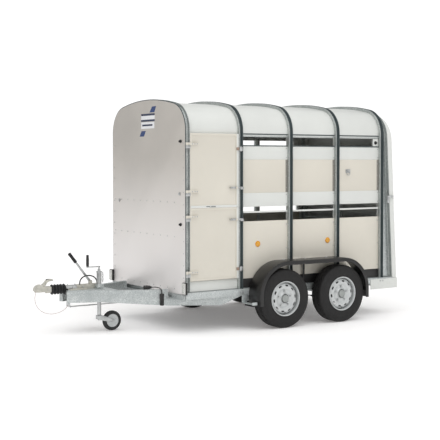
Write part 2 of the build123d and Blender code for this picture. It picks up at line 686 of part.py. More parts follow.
HEAD_BOTTOM = 430.0
HEAD_TOP = 480.0
HANDLE_Y = FRONT - 1190.0
HANDLE_Z = HEAD_TOP + 14.0
with BuildPart() as coupling_head:
    with BuildSketch(Plane.XY.offset(HEAD_BOTTOM)) as plan:
        with Locations((0, BALL_Y)):
            Circle(45)
        with BuildLine():
            Polyline((-43, BALL_Y), (43, BALL_Y), (30, HEAD_REAR), (-30, HEAD_REAR), close=True)
        make_face()
    extrude(plan.sketch, amount=HEAD_TOP - HEAD_BOTTOM)
    fillet(coupling_head.faces().sort_by(Axis.Z)[-1].edges(), 8)
    rod((0, HEAD_REAR - 50, SHAFT_Z), (0, HEAD_REAR, SHAFT_Z), 31)
    rod((0, BALL_Y, HEAD_BOTTOM - 1), (0, BALL_Y, SHAFT_Z + 2), BALL_R, Mode.SUBTRACT)
    with Locations((0, BALL_Y, SHAFT_Z + 2)):
        Sphere(BALL_R, mode=Mode.SUBTRACT)
    rod((0, HEAD_REAR - 36 - SEAT, SHAFT_Z), (0, HEAD_REAR + 1, SHAFT_Z), SHAFT_R + SEAT, Mode.SUBTRACT)
    for side in SIDES.values():
        block((side * 13, side * 19), (HANDLE_Y - 11, HANDLE_Y + 11), (HEAD_TOP - 1, HANDLE_Z + 9))
    rod((-19, HANDLE_Y, HANDLE_Z), (19, HANDLE_Y, HANDLE_Z), 5)
    # Draw shaft, which slides in the housing
    rod((0, HEAD_REAR - 36, SHAFT_Z), (0, CAST_REAR - OVERRUN - 14, SHAFT_Z), SHAFT_R)
save(coupling_head.part, "coupling_head")

with BuildPart() as coupling_handle:
    side_view = [
        (HANDLE_Y - 9, HANDLE_Z - 9),
        (HANDLE_Y + 9, HANDLE_Z - 9),
        (FRONT - 1140.0, HANDLE_Z + 16),
        (FRONT - 1093.0, HANDLE_Z + 42),
        (FRONT - 1093.0, HANDLE_Z + 54),
        (FRONT - 1145.0, HANDLE_Z + 34),
        (HANDLE_Y - 9, HANDLE_Z + 9),
    ]
    extrude(profile(Plane.YZ.offset(-12.0), side_view), amount=24)
    rod((-13, HANDLE_Y, HANDLE_Z), (13, HANDLE_Y, HANDLE_Z), 5 + RUN, Mode.SUBTRACT)
save(coupling_handle.part, "coupling_handle")

FOLDS = 5
with BuildPart() as gaiter:
    fold = (HOUSING_FRONT - HEAD_REAR - 2 * SEAT) / FOLDS
    start = HEAD_REAR + SEAT
    points = [(start, SHAFT_R + 2)]
    for i in range(FOLDS):
        points += [(start + i * fold, 32), (start + (i + 0.5) * fold, 50)]
    points += [(start + FOLDS * fold, 32), (start + FOLDS * fold, SHAFT_R + 2)]
    shaft_plane = Plane(origin=(0, 0, SHAFT_Z), x_dir=(0, 1, 0), z_dir=(1, 0, 0))
    revolve(profile(shaft_plane, points), axis=Axis((0, 0, SHAFT_Z), (0, 1, 0)))
save(gaiter.part, "gaiter")

TILT = radians(LEVER_TILT)
LEVER_DIR = Vector(0, -cos(TILT), sin(TILT))
with BuildPart() as handbrake_lever:
    lever_plane = Plane(origin=(-LEVER_T / 2, LEVER_Y, LEVER_Z), x_dir=LEVER_DIR, z_dir=(1, 0, 0))
    with BuildSketch(lever_plane) as side_view:
        Circle(BOSS_R - 1)
        with BuildLine():
            Polyline((0, -13), (270, -9), (270, 9), (0, 13), close=True)
        make_face()
    extrude(side_view.sketch, amount=LEVER_T)
    pivot = Vector(0, LEVER_Y, LEVER_Z)
    grip = (pivot + LEVER_DIR * 262, pivot + LEVER_DIR * LEVER_LENGTH)
    rod(tuple(grip[0]), tuple(grip[1]), 15)
    bore = LEVER_T / 2 + 1
    rod((-bore, LEVER_Y, LEVER_Z), (bore, LEVER_Y, LEVER_Z), RAMP_PIN_R + RUN, Mode.SUBTRACT)
save(handbrake_lever.part, "handbrake_lever")

ROD_R = 6.0
ROD_Z = 262.0
with BuildPart() as brake_gear:
    rod((0, FRONT - 900.0, ROD_Z), (0, AXLES[1], ROD_Z), ROD_R)
    with Locations((0, FRONT - 900.0, ROD_Z)):
        Sphere(ROD_R + 4)
    for y in (CROSSES[0], CROSSES[1], CROSSES[3]):
        block((-4, 4), (y - 10, y + 10), (ROD_Z, UNDER_SILL))
    block((-40, 40), (PLATE_FRONT + 40, PLATE_FRONT + 46), (ROD_Z, SHAFT_Z - HOUSING_R - SEAT))
    block((42.0, 58.0), (FRONT - 956.0, FRONT - 938.0), (290.0, 311.7))
save(brake_gear.part, "brake_gear")

# ---- Jockey wheel ----------------------------------------------------------------------------

INNER = (163.0, 470.0)
OUTER_FOOT = 300.0
SCREW_R = 8.0
SPINDLE_R = 10.0
HUB_Y = JOCKEY_Y + JOCKEY_TRAIL
FORK_Z = (122.0, 162.0)

with BuildPart() as jockey_tube:
    rod((JOCKEY_X, JOCKEY_Y, OUTER_FOOT), (JOCKEY_X, JOCKEY_Y, JOCKEY_TOP), JOCKEY_TUBE_R)
    inner_r = JOCKEY_INNER_R
    rod((JOCKEY_X, JOCKEY_Y, OUTER_FOOT - 1), (JOCKEY_X, JOCKEY_Y, JOCKEY_TOP - 8), inner_r, Mode.SUBTRACT)
    bore = SCREW_R + RUN
    rod((JOCKEY_X, JOCKEY_Y, JOCKEY_TOP - 9), (JOCKEY_X, JOCKEY_Y, JOCKEY_TOP + 1), bore, Mode.SUBTRACT)
save(jockey_tube.part, "jockey_tube")

with BuildPart() as jockey_inner:
    rod((JOCKEY_X, JOCKEY_Y, INNER[0]), (JOCKEY_X, JOCKEY_Y, INNER[1]), JOCKEY_INNER_R - RUN)
    rod((JOCKEY_X, JOCKEY_Y, INNER[0] + 10), (JOCKEY_X, JOCKEY_Y, INNER[1] + 1), SCREW_R + 2, Mode.SUBTRACT)
    rod((JOCKEY_X, JOCKEY_Y, FORK_Z[0] - 2), (JOCKEY_X, JOCKEY_Y, INNER[0] + 1), SPINDLE_R)
    rod((JOCKEY_X, JOCKEY_Y, FORK_Z[0] - 10), (JOCKEY_X, JOCKEY_Y, FORK_Z[0] - 1), SPINDLE_R + 6)
save(jockey_inner.part, "jockey_inner")

with BuildPart() as jockey_fork:
    block((JOCKEY_X - 34, JOCKEY_X + 34), (JOCKEY_Y - 22, JOCKEY_Y + 26), FORK_Z)
    for side in SIDES.values():
        plate = [
            (JOCKEY_Y - 22, FORK_Z[0]),
            (JOCKEY_Y - 22, FORK_Z[1]),
            (JOCKEY_Y + 26, FORK_Z[1]),
            (HUB_Y + 16, JOCKEY_R + 12),
            (HUB_Y + 16, JOCKEY_R - 14),
            (HUB_Y - 12, JOCKEY_R - 16),
        ]
        extrude(profile(Plane.YZ.offset(JOCKEY_X + side * 28), plate), amount=side * 6)
    rod((JOCKEY_X - 38, HUB_Y, JOCKEY_R), (JOCKEY_X + 38, HUB_Y, JOCKEY_R), 8)
    bore = SPINDLE_R + RUN
    rod((JOCKEY_X, JOCKEY_Y, FORK_Z[0] - 1), (JOCKEY_X, JOCKEY_Y, FORK_Z[1] + 1), bore, Mode.SUBTRACT)
save(jockey_fork.part, "jockey_fork")

with BuildPart() as jockey_wheel:
    jockey_section = [
        (-27, 8 + RUN),
        (-27, 20),
        (-20, 22),
        (-20, 60),
        (-25, 66),
        (-25, 92),
        (-17, JOCKEY_R),
        (17, JOCKEY_R),
        (25, 92),
        (25, 66),
        (20, 60),
        (20, 22),
        (27, 20),
        (27, 8 + RUN),
    ]
    add(turned(wheel_plane(JOCKEY_X, HUB_Y, JOCKEY_R), jockey_section))
save(jockey_wheel.part, "jockey_wheel")

with BuildPart() as jockey_crank:
    arm_z = JOCKEY_TOP + 46
    rod((JOCKEY_X, JOCKEY_Y, 500), (JOCKEY_X, JOCKEY_Y, arm_z), SCREW_R)
    rod((JOCKEY_X, JOCKEY_Y, JOCKEY_TOP + SEAT), (JOCKEY_X, JOCKEY_Y, JOCKEY_TOP + 20), 14)
    block((JOCKEY_X - 9, JOCKEY_X + 9), (JOCKEY_Y - CRANK_ARM - 9, JOCKEY_Y + 10), (arm_z - 5, arm_z + 5))
    rod((JOCKEY_X, JOCKEY_Y - CRANK_ARM, arm_z), (JOCKEY_X, JOCKEY_Y - CRANK_ARM, arm_z + 120), 11)
save(jockey_crank.part, "jockey_crank")

# ---- Doors and latches -----------------------------------------------------------------------

KNUCKLE_R = 11.0
STRAP_T = 6.0
STRAP_X = PIVOT[0] - 14.0
STRAP_END = DOOR_Y[0] + 90.0
LATCH_PIN_R = 6.0
LATCH_X = DOOR_HALF_X[1] + SEAT
DOOR_SPANS = {"upper_door": (DOOR_SPLIT + 1.5, DOOR_TOP), "lower_door": (DOOR_BOTTOM, DOOR_SPLIT - 1.5)}

for name, (door_z0, door_z1) in DOOR_SPANS.items():
    with BuildPart() as door:
        block(DOOR_HALF_X, DOOR_Y, (door_z0, door_z1))
        skin = (DOOR_HALF_X[1] - 6.0, DOOR_HALF_X[1] + 1)
        block(skin, (DOOR_Y[0] + 22, DOOR_Y[1] - 34), (door_z0 + 22, door_z1 - 22), Mode.SUBTRACT)
        for level in HINGE_LEVELS[name]:
            high = (level + 2, level + 28)
            block((DOOR_HALF_X[1] - 1, STRAP_X + STRAP_T), (DOOR_Y[0] + 2, STRAP_END), high)
            block((STRAP_X, STRAP_X + STRAP_T), (PIVOT[1], STRAP_END), high)
            block((STRAP_X + 3, PIVOT[0]), (PIVOT[1] - 3, PIVOT[1] + 3), high)
            rod((*PIVOT, level + 2), (*PIVOT, level + 28), KNUCKLE_R)
            rod((*PIVOT, level + 1), (*PIVOT, level + 29), PIN_R + RUN, Mode.SUBTRACT)
        latch_z = LATCH_LEVELS[name]
        pin_end = LATCH_X + 18
        rod((DOOR_HALF_X[1] - 2, LATCH_Y, latch_z), (pin_end, LATCH_Y, latch_z), LATCH_PIN_R)
        rod((LATCH_X + 13, LATCH_Y, latch_z), (pin_end, LATCH_Y, latch_z), 11)
    save(door.part, name)
    with BuildPart() as latch:
        bar_x = (LATCH_X + 3.5, LATCH_X + 12.5)
        block(bar_x, (LATCH_Y - 70, HOOPS[1] + 14), (latch_z - 9, latch_z + 9))
        block((bar_x[0], bar_x[1] + 16), (LATCH_Y - 84, LATCH_Y - 62), (latch_z - 7, latch_z + 7))
        hole = (bar_x[0] - 1, bar_x[1] + 1)
        rod((hole[0], LATCH_Y, latch_z), (hole[1], LATCH_Y, latch_z), LATCH_PIN_R + RUN, Mode.SUBTRACT)
    save(latch.part, name.replace("door", "latch"))

# ---- Ramp and its latches --------------------------------------------------------------------

RAMP_RIM = 45.0
RAMP_SKIN = 22.0
CLEATS = 6
RAMP_EAVE_DROP = RAMP_FOOT + RAMP_DROP

with BuildPart() as ramp:
    extrude(arch_face(lean_plane(RAMP_T), RAMP_GROW, 0.0, RAMP_EAVE_DROP), amount=RAMP_T)
    recess = arch_face(lean_plane(RAMP_T), RAMP_GROW - RAMP_RIM, 75.0, RAMP_EAVE_DROP)
    extrude(recess, amount=RAMP_T - RAMP_SKIN, mode=Mode.SUBTRACT)
    cleat_plane = lean_plane(RAMP_SKIN + 14.0)
    with BuildSketch(cleat_plane) as cleats:
        for i in range(CLEATS):
            with Locations((0, 230.0 + 250.0 * i)):
                Rectangle(2 * (BODY_HALF + RAMP_GROW - RAMP_RIM) + 4, 40)
    extrude(cleats.sketch, amount=15)
    reach = BODY_HALF + RAMP_GROW + 1
    rod((-reach, PIN_Y, PIN_Z), (reach, PIN_Y, PIN_Z), RAMP_PIN_R + RUN, Mode.SUBTRACT)
    for side in SIDES.values():
        catch_y = lean_y(1300.0, RAMP_T / 2)
        rod((side * (reach - 5), catch_y, 1300.0), (side * (reach + 22), catch_y, 1300.0), 6)
save(ramp.part, "ramp")

RAMP_LATCH_Z = 1300.0
CATCH_Y = lean_y(RAMP_LATCH_Z, RAMP_T / 2)
RAMP_LATCH_Y = lean_y(RAMP_LATCH_Z, FRAME_FRONT + FRAME_DEEP / 2) - 6
BRACKET_X = BODY_HALF + RAMP_GROW + SEAT
for word, side in SIDES.items():
    with BuildPart() as ramp_latch:
        bar_x = (side * (BRACKET_X + 8), side * (BRACKET_X + 16))
        block(bar_x, (RAMP_LATCH_Y - 14, CATCH_Y + 16), (RAMP_LATCH_Z - 2, RAMP_LATCH_Z + 22))
        block(bar_x, (RAMP_LATCH_Y - 14, RAMP_LATCH_Y + 12), (RAMP_LATCH_Z - 60, RAMP_LATCH_Z + 10))
        block(bar_x, (CATCH_Y + 7, CATCH_Y + 16), (RAMP_LATCH_Z - 12, RAMP_LATCH_Z))
        ends = (side * (BRACKET_X + 2), side * (BRACKET_X + 20))
        for y, bore in ((CATCH_Y, 6.6), (RAMP_LATCH_Y, 6 + RUN)):
            rod((ends[0], y, RAMP_LATCH_Z), (ends[1], y, RAMP_LATCH_Z), bore, Mode.SUBTRACT)
    save(ramp_latch.part, f"ramp_latch_{word}")

# ---- Inner gates -----------------------------------------------------------------------------

GATE_REACH = 8.0
GATE_BARS = (GATE_Z[0] + 560.0, GATE_Z[0] + 700.0, GATE_Z[0] + 850.0, GATE_Z[1] - GATE_TUBE_R)
for word, side in SIDES.items():
    with BuildPart() as gate:
        for x in (GATE_HINGE_X, GATE_REACH + GATE_TUBE_R):
            rod((side * x, GATE_Y, GATE_Z[0]), (side * x, GATE_Y, GATE_Z[1]), GATE_TUBE_R)
        for z in GATE_BARS:
            rod((side * GATE_HINGE_X, GATE_Y, z), (side * (GATE_REACH + GATE_TUBE_R), GATE_Y, z), 10)
        sheet_x = (side * (GATE_REACH + GATE_TUBE_R), side * GATE_HINGE_X)
        block(sheet_x, (GATE_Y - 3, GATE_Y + 3), (GATE_Z[0] + 4, GATE_BARS[0]))
        for z in (GATE_Z[0], GATE_Z[1] - 40):
            bore = (side * GATE_HINGE_X, GATE_Y)
            rod((*bore, z - 1), (*bore, z + 41), GATE_PIN_R + RUN, Mode.SUBTRACT)
    save(gate.part, f"{word}_gate")

# ---- Fittings --------------------------------------------------------------------------------

REFLECTORS = (FRONT + 855.0, FRONT + 1772.0)
REFLECTOR_Z = 858.0
RING_Y = FRONT + 2054.0
RING_Z = 1596.0
RING_R = 24.0

with BuildPart() as body_fittings:
    # Fixed halves of the door hinges, each with its pin
    for levels in HINGE_LEVELS.values():
        for level in levels:
            z = (level - 30, level + 1.5)
            block((BODY_HALF + HOOP_D + SEAT, PIVOT[0]), (PIVOT[1] + 6, HOOPS[0] + 22), (z[0], z[1]))
            block((PIVOT[0] - 8, PIVOT[0]), (PIVOT[1], PIVOT[1] + 8), z)
            rod((*PIVOT, z[0]), (*PIVOT, z[1]), KNUCKLE_R)
            rod((*PIVOT, z[1] - 1), (*PIVOT, level + 34), PIN_R)
    # Latch rests on the second hoop
    for rest in LATCH_LEVELS.values():
        along = (HOOPS[1] - 12, HOOPS[1] + 22)
        block((BODY_HALF + HOOP_D + SEAT, LATCH_X + 18), along, (rest - 19, rest - 9.5))
        block((LATCH_X + 13, LATCH_X + 18), along, (rest - 12, rest + 5))
    # Rubber buffers that the open doors rest on
    for z in (DOOR_TOP - 80.0, DOOR_SPLIT - 162.0):
        rod((683.0, FRONT_FACE - SEAT, z), (683.0, FRONT_FACE - 22.0, z), 10)
    # Reflectors
    for side in SIDES.values():
        for y in REFLECTORS:
            start = side * BODY_HALF
            rod((start, y, REFLECTOR_Z), (start + side * 10, y, REFLECTOR_Z), 28)
    # Tie ring plate and pin
    block((BODY_HALF, BODY_HALF + 4), (RING_Y - 32, RING_Y + 32), (RING_Z - 18, RING_Z + 22))
    for y in (RING_Y - 16, RING_Y + 16):
        block((BODY_HALF + 3, BODY_HALF + 18), (y - 4, y + 4), (RING_Z + 4, RING_Z + 17))
    rod((BODY_HALF + 12, RING_Y - 20, RING_Z + 10), (BODY_HALF + 12, RING_Y + 20, RING_Z + 10), 4)
    # Gate hinge pins on brackets from the quarter panels
    for side in SIDES.values():
        for z in (GATE_Z[0] - 8.3, GATE_Z[1] + 0.3):
            edge_x = side * (BODY_HALF - SEAT - ROOF_T - SEAT)
            block((edge_x, side * (GATE_HINGE_X - 12)), (GATE_Y - 14, GATE_Y + 14), (z, z + 8))
        low, high = GATE_Z[0] - 1, GATE_Z[1] + 1
        rod((side * GATE_HINGE_X, GATE_Y, low), (side * GATE_HINGE_X, GATE_Y, low + 35), GATE_PIN_R)
        rod((side * GATE_HINGE_X, GATE_Y, high - 35), (side * GATE_HINGE_X, GATE_Y, high), GATE_PIN_R)
    # Pivots of the ramp latches, on the rear frame
    for side in SIDES.values():
        start = side * BRACKET_X
        rod((start, RAMP_LATCH_Y, RAMP_LATCH_Z), (start + side * 7, RAMP_LATCH_Y, RAMP_LATCH_Z), 13)
        rod((start, RAMP_LATCH_Y, RAMP_LATCH_Z), (start + side * 22, RAMP_LATCH_Y, RAMP_LATCH_Z), 6)
save(body_fittings.part, "body_fittings")

with BuildPart() as tie_ring:
    ring_plane = Plane(origin=(BODY_HALF + 12, RING_Y, RING_Z - 21), z_dir=(1, 0, 0))
    add(Solid.make_torus(RING_R - 2.5, 3.5, ring_plane))
    pin_z = RING_Z + 10
    rod((BODY_HALF + 12, RING_Y - 11, pin_z), (BODY_HALF + 12, RING_Y + 11, pin_z), 7.4)
    rod((BODY_HALF + 12, RING_Y - 12, pin_z), (BODY_HALF + 12, RING_Y + 12, pin_z), 4 + RUN, Mode.SUBTRACT)
save(tie_ring.part, "tie_ring")

LAMP_FRONT = FRONT_FACE - SEAT
with BuildPart() as lamps:
    for side in SIDES.values():
        block((side * 740, side * 812), (LAMP_FRONT - 34, LAMP_FRONT), (398, 520))
        high = (REAR_SILL_Z + 2, REAR_SILL_Z + 48)
        block((side * 560, side * 740), (SILL_REAR + SEAT, SILL_REAR + 30), high)
save(lamps.part, "lamps")

# ---- Plugs and cords -------------------------------------------------------------------------

PLUG_R = 22.0
PLUG_AT = (FRONT - 230.0 - RAIL_FRONT[1]) * RAIL_SLOPE
BOX_AT = (FRONT - 105.0 - RAIL_FRONT[1]) * RAIL_SLOPE
RAIL_CENTRE = rail_plane(0)


def on_rail(run: float, z: float, out: float) -> tuple:
    """A point run mm along the left drawbar rail, out mm outside its centre line."""
    return tuple(RAIL_CENTRE.from_local_coords(Vector(run, z, out)))


with BuildPart() as plugs:
    plug_z = RAIL_TOP + SEAT + PLUG_R
    rod(on_rail(PLUG_AT - 44, plug_z, 0), on_rail(PLUG_AT + 40, plug_z, 0), PLUG_R)
    box_out = RAIL_T / 2 + SEAT + PLUG_R
    rod(on_rail(BOX_AT, 268.0, box_out), on_rail(BOX_AT, 388.0, box_out), PLUG_R)
save(plugs.part, "plugs")


def cord(points: list, radius: float, name: str) -> None:
    """A cord along straight runs joined by tangent arcs, as large as the runs allow."""
    corners = [Vector(*point) for point in points]
    runs = [b - a for a, b in zip(corners, corners[1:])]
    radii = []
    for before, after in zip(runs, runs[1:]):
        turn = radians(before.get_angle(after))
        radii.append(0.45 * min(before.length, after.length) / tan(turn / 2))
    print(name, "radii", [round(r) for r in radii], "run", round(sum(run.length for run in runs)))
    with BuildPart() as tube:
        with BuildLine() as route:
            FilletPolyline(*points, radius=radii)
        with BuildSketch(Plane(origin=points[0], z_dir=runs[0])) as section:
            Circle(radius)
        sweep(section.sketch, path=route.wires()[0])
    length = route.wires()[0].length
    fill = tube.part.volume / (pi * radius**2 * length)
    print(name, "length", round(length), "volume ratio", round(fill, 4))
    save(tube.part, name)


BREAKAWAY = [
    (38, FRONT - 1282, 442),
    (38, FRONT - 1293, 394),
    (37, FRONT - 1292, 345),
    (36, FRONT - 1274, 298),
    (36, FRONT - 1243, 258),
    (36, FRONT - 1202, 230),
    (37, FRONT - 1155, 214),
    (38, FRONT - 1105, 209),
    (40, FRONT - 1056, 215),
    (44, FRONT - 1008, 230),
    (48, FRONT - 968, 256),
    (50, FRONT - 947, 288.6),
]
HELD = [
    (28, FRONT - 812, CAST_TOP + 0.8),
    (28, FRONT - 810, 512),
    (29, FRONT - 789, 544),
    (30, FRONT - 750, 563),
    (31, FRONT - 701, 565),
    (31, FRONT - 654, 549),
    (30, FRONT - 623, 515),
    (28, FRONT - 619, CAST_TOP + 0.8),
]
PLUG_LEAD = [
    on_rail(PLUG_AT + 40 + SEAT, plug_z, 0),
    on_rail(PLUG_AT + 74, plug_z + 1, 2),
    on_rail(PLUG_AT + 105, plug_z - 3, 17),
    on_rail(PLUG_AT + 128, plug_z - 15, 33),
    on_rail(BOX_AT, 412.0, box_out - 1),
    on_rail(BOX_AT, 388.0 + SEAT, box_out),
]
cord(BREAKAWAY, 2.0, "breakaway_cable")
cord(HELD, 6.0, "held_cable")
cord(PLUG_LEAD, 4.5, "plug_lead")
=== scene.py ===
"""Looks for a twin-axle livestock trailer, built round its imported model.

Sizes are in metres, apart from the places that a Layout turns from millimetres into metres.
"""

import json
import logging
import math
from collections.abc import Iterator
from contextlib import contextmanager
from dataclasses import dataclass
from enum import Enum

import bmesh
import bpy
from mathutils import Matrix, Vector

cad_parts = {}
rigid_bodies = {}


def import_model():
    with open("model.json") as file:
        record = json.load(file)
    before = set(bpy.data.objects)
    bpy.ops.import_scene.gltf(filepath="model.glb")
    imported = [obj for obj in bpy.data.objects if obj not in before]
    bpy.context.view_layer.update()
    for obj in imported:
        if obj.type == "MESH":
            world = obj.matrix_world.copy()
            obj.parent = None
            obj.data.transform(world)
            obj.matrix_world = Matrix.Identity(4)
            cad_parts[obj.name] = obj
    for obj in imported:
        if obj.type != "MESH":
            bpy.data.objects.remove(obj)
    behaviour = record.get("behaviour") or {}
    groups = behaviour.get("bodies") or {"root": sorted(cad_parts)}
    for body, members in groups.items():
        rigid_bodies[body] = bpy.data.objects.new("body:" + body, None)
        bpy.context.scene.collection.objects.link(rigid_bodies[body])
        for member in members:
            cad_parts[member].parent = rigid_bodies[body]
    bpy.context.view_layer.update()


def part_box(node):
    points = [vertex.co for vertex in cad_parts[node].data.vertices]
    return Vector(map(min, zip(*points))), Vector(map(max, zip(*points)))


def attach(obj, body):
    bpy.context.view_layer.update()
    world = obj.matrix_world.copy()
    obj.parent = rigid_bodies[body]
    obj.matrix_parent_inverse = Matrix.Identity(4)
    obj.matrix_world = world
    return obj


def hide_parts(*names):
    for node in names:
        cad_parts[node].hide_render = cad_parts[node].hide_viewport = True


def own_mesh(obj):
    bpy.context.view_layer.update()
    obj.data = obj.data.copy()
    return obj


log = logging.getLogger("trailer")

Socket = bpy.types.NodeSocket
Item = bpy.types.Object
Colour = tuple[float, float, float, float]

HOOPS = 5
BAY = 630  # millimetres from one hoop to the next


class Side(Enum):
    """The two sides of the trailer, with the sign of their X."""

    LEFT = 1
    RIGHT = -1

    @property
    def word(self) -> str:
        """The side as it is written in names."""
        return self.name.lower()

    @property
    def first_bay(self) -> int:
        """The first bay with boards: on the left the doors fill the bay before it."""
        return 1 if self is Side.LEFT else 0


class Lens(Enum):
    """Lamp and reflector lens colours."""

    CLEAR = "#E9E9E4"
    AMBER = "#FFB31E"
    RED = "#A51712"


# ---- Materials -------------------------------------------------------------------------------


def linear(code: str) -> Colour:
    """Turns a hex sRGB colour into the linear values a shader takes.

    Args:
        code: The colour, such as "#E0E0DC".

    Returns:
        Red, green, blue and alpha.
    """
    parts = [int(code[i : i + 2], 16) / 255 for i in (1, 3, 5)]
    return (*[c / 12.92 if c <= 0.04045 else ((c + 0.055) / 1.055) ** 2.4 for c in parts], 1.0)


def darker(code: str, share: float) -> Colour:
    """A hex colour's linear values, times a share."""
    return (*[share * c for c in linear(code)[:3]], 1.0)


class Graph:
    """A material's nodes while they are wired."""

    def __init__(self, name: str) -> None:
        """Starts a material with one principled shader.

        Args:
            name: The finish's name.
        """
        self.material = bpy.data.materials.new(name)
        self.material.use_nodes = True
        self.tree = self.material.node_tree
        self.shader = self.tree.nodes["Principled BSDF"]
        self.place = self.add("ShaderNodeTexCoord").outputs["Object"]

    def add(self, kind: str, inputs: dict | None = None, **settings: object) -> bpy.types.Node:
        """Adds one node.

        Args:
            kind: The node's type.
            inputs: Values or sockets by input name or number.
            settings: The node's own options.

        Returns:
            The node.
        """
        node = self.tree.nodes.new(kind)
        for key, value in settings.items():
            setattr(node, key, value)
        for key, value in (inputs or {}).items():
            if isinstance(value, Socket):
                self.tree.links.new(value, node.inputs[key])
            else:
                node.inputs[key].default_value = value
        return node

    def noise(self, scale: float, detail: float = 3.0, stretch: tuple | None = None) -> Socket:
        """A noise value over the piece.

        Args:
            scale: Features a metre.
            detail: Octaves.
            stretch: Scale along each axis, for grain.

        Returns:
            The noise's value.
        """
        where = self.place
        if stretch:
            where = self.add("ShaderNodeMapping", {"Vector": where, "Scale": stretch}).outputs[0]
        settings = {"Vector": where, "Scale": scale, "Detail": detail}
        return self.add("ShaderNodeTexNoise", settings).outputs["Fac"]

    def spread(
        self, value: Socket, low: float, high: float, start: float = 0.3, end: float = 0.7
    ) -> Socket:
        """Maps a value's start-to-end to low-to-high.

        Args:
            value: What is mapped.
            low: Result at start.
            high: Result at end.
            start: Where it starts.
            end: Where it ends.

        Returns:
            The mapped value.
        """
        source = {"Value": value, "From Min": start, "From Max": end}
        inputs = {**source, "To Min": low, "To Max": high}
        return self.add("ShaderNodeMapRange", inputs).outputs["Result"]

    def up(self) -> Socket:
        """The height over the ground."""
        return self.add("ShaderNodeSeparateXYZ", {"Vector": self.place}).outputs[2]

    def mix(self, share: Socket, first: object, second: object) -> Socket:
        """Mixes two colours by a share from 0 to 1."""
        node = self.add("ShaderNodeMix", {0: share, 6: first, 7: second}, data_type="RGBA")
        return node.outputs[2]

    def height(
        self, value: Socket, distance: float, strength: float = 0.5, under: Socket | None = None
    ) -> Socket:
        """Bumps the surface.

        Args:
            value: The height, 0 to 1.
            distance: How tall that is.
            strength: How much of it is used.
            under: The bump that it lies on.

        Returns:
            The normal.
        """
        inputs = {"Height": value, "Distance": distance, "Strength": strength}
        if under:
            inputs["Normal"] = under
        return self.add("ShaderNodeBump", inputs).outputs["Normal"]

    def wire(self, **sockets: Socket) -> None:
        """Links sockets to the shader's inputs, with _ for a space in a name."""
        for name, socket in sockets.items():
            self.tree.links.new(socket, self.shader.inputs[name.replace("_", " ")])

    def uniform(self, **values: object) -> None:
        """Sets values that are the same all over, with _ for a space in a name."""
        for name, value in values.items():
            self.shader.inputs[name.replace("_", " ")].default_value = value


@dataclass(frozen=True)
class Finish:
    """What every finish has: a name, the record's slot and a base colour."""

    name: str
    slot: str
    colour: str

    def dress(self, graph: Graph) -> None:
        """Wires the finish. Each kind does this its own way."""
        raise NotImplementedError

    def material(self) -> bpy.types.Material:
        """The finish's material, made the first time it is asked for."""
        made = bpy.data.materials.get(self.name)
        if made is None:
            graph = Graph(self.name)
            self.dress(graph)
            made = graph.material
        return made


@dataclass(frozen=True)
class Galvanised(Finish):
    """Hot-dip zinc: flat crystals a few millimetres across, and dull runs."""

    spangle: float = 90.0
    shade: str = "#8E9494"
    rough: float = 0.42

    def dress(self, graph: Graph) -> None:
        """Wires crystals for tone and gloss, and soft runs down the metal."""
        cells = {"Vector": graph.place, "Scale": self.spangle, "Randomness": 1.0}
        crystal = graph.add("ShaderNodeTexVoronoi", cells).outputs["Color"]
        tone = graph.add("ShaderNodeSeparateColor", {"Color": crystal}).outputs[0]
        cloud = graph.noise(7.0, 5.0)
        blend = graph.add("ShaderNodeMath", {0: tone, 1: cloud}, operation="MULTIPLY").outputs[0]
        share = graph.spread(blend, 0, 1, 0.05, 0.6)
        graph.wire(
            Base_Color=graph.mix(share, linear(self.shade), linear(self.colour)),
            Roughness=graph.spread(blend, self.rough + 0.12, self.rough - 0.06, 0.05, 0.6),
            Normal=graph.height(graph.noise(420.0, 2.0), 0.0004, 0.35),
        )
        graph.uniform(Metallic=0.6)


@dataclass(frozen=True)
class Plated(Finish):
    """Plated or machined steel: fine grain and a clean gloss."""

    rough: float = 0.3
    metal: float = 1.0
    grain: float = 260.0

    def dress(self, graph: Graph) -> None:
        """Wires a fine grain in tone, gloss and height."""
        fine = graph.noise(self.grain, 4.0)
        broad = graph.noise(18.0, 4.0)
        tone = graph.mix(graph.spread(broad, 0, 1), darker(self.colour, 0.72), linear(self.colour))
        graph.wire(
            Base_Color=tone,
            Roughness=graph.spread(fine, self.rough - 0.06, self.rough + 0.14),
            Normal=graph.height(fine, 0.0003, 0.4),
        )
        graph.uniform(Metallic=self.metal)


@dataclass(frozen=True)
class MillSheet(Finish):
    """Rolled aluminium sheet: upright rolling grain, soft smears, and painted light that makes it
    paler low down.
    """

    # Painted light: the paler colour that the sheet is mixed toward low down.
    polished: str = "#F2EFEE"

    def dress(self, graph: Graph) -> None:
        """Wires the rolling grain, broad smears and the painted light low down."""
        grain = graph.noise(900.0, 2.0, (1.0, 1.0, 0.02))
        smear = graph.noise(2.2, 6.0)
        tone = graph.mix(graph.spread(smear, 0, 1), darker(self.colour, 0.9), linear(self.colour))
        # Painted light: the sheet's colour is mixed toward a paler one low down.
        painted_light_share = graph.spread(graph.up(), 0.85, 0, 0.6, 1.75)
        graph.wire(
            Base_Color=graph.mix(painted_light_share, tone, linear(self.polished)),
            Roughness=graph.spread(smear, 0.4, 0.52),
            Normal=graph.height(grain, 0.0002, 0.25, graph.height(smear, 0.004, 0.12)),
        )
        graph.uniform(Metallic=0.55)


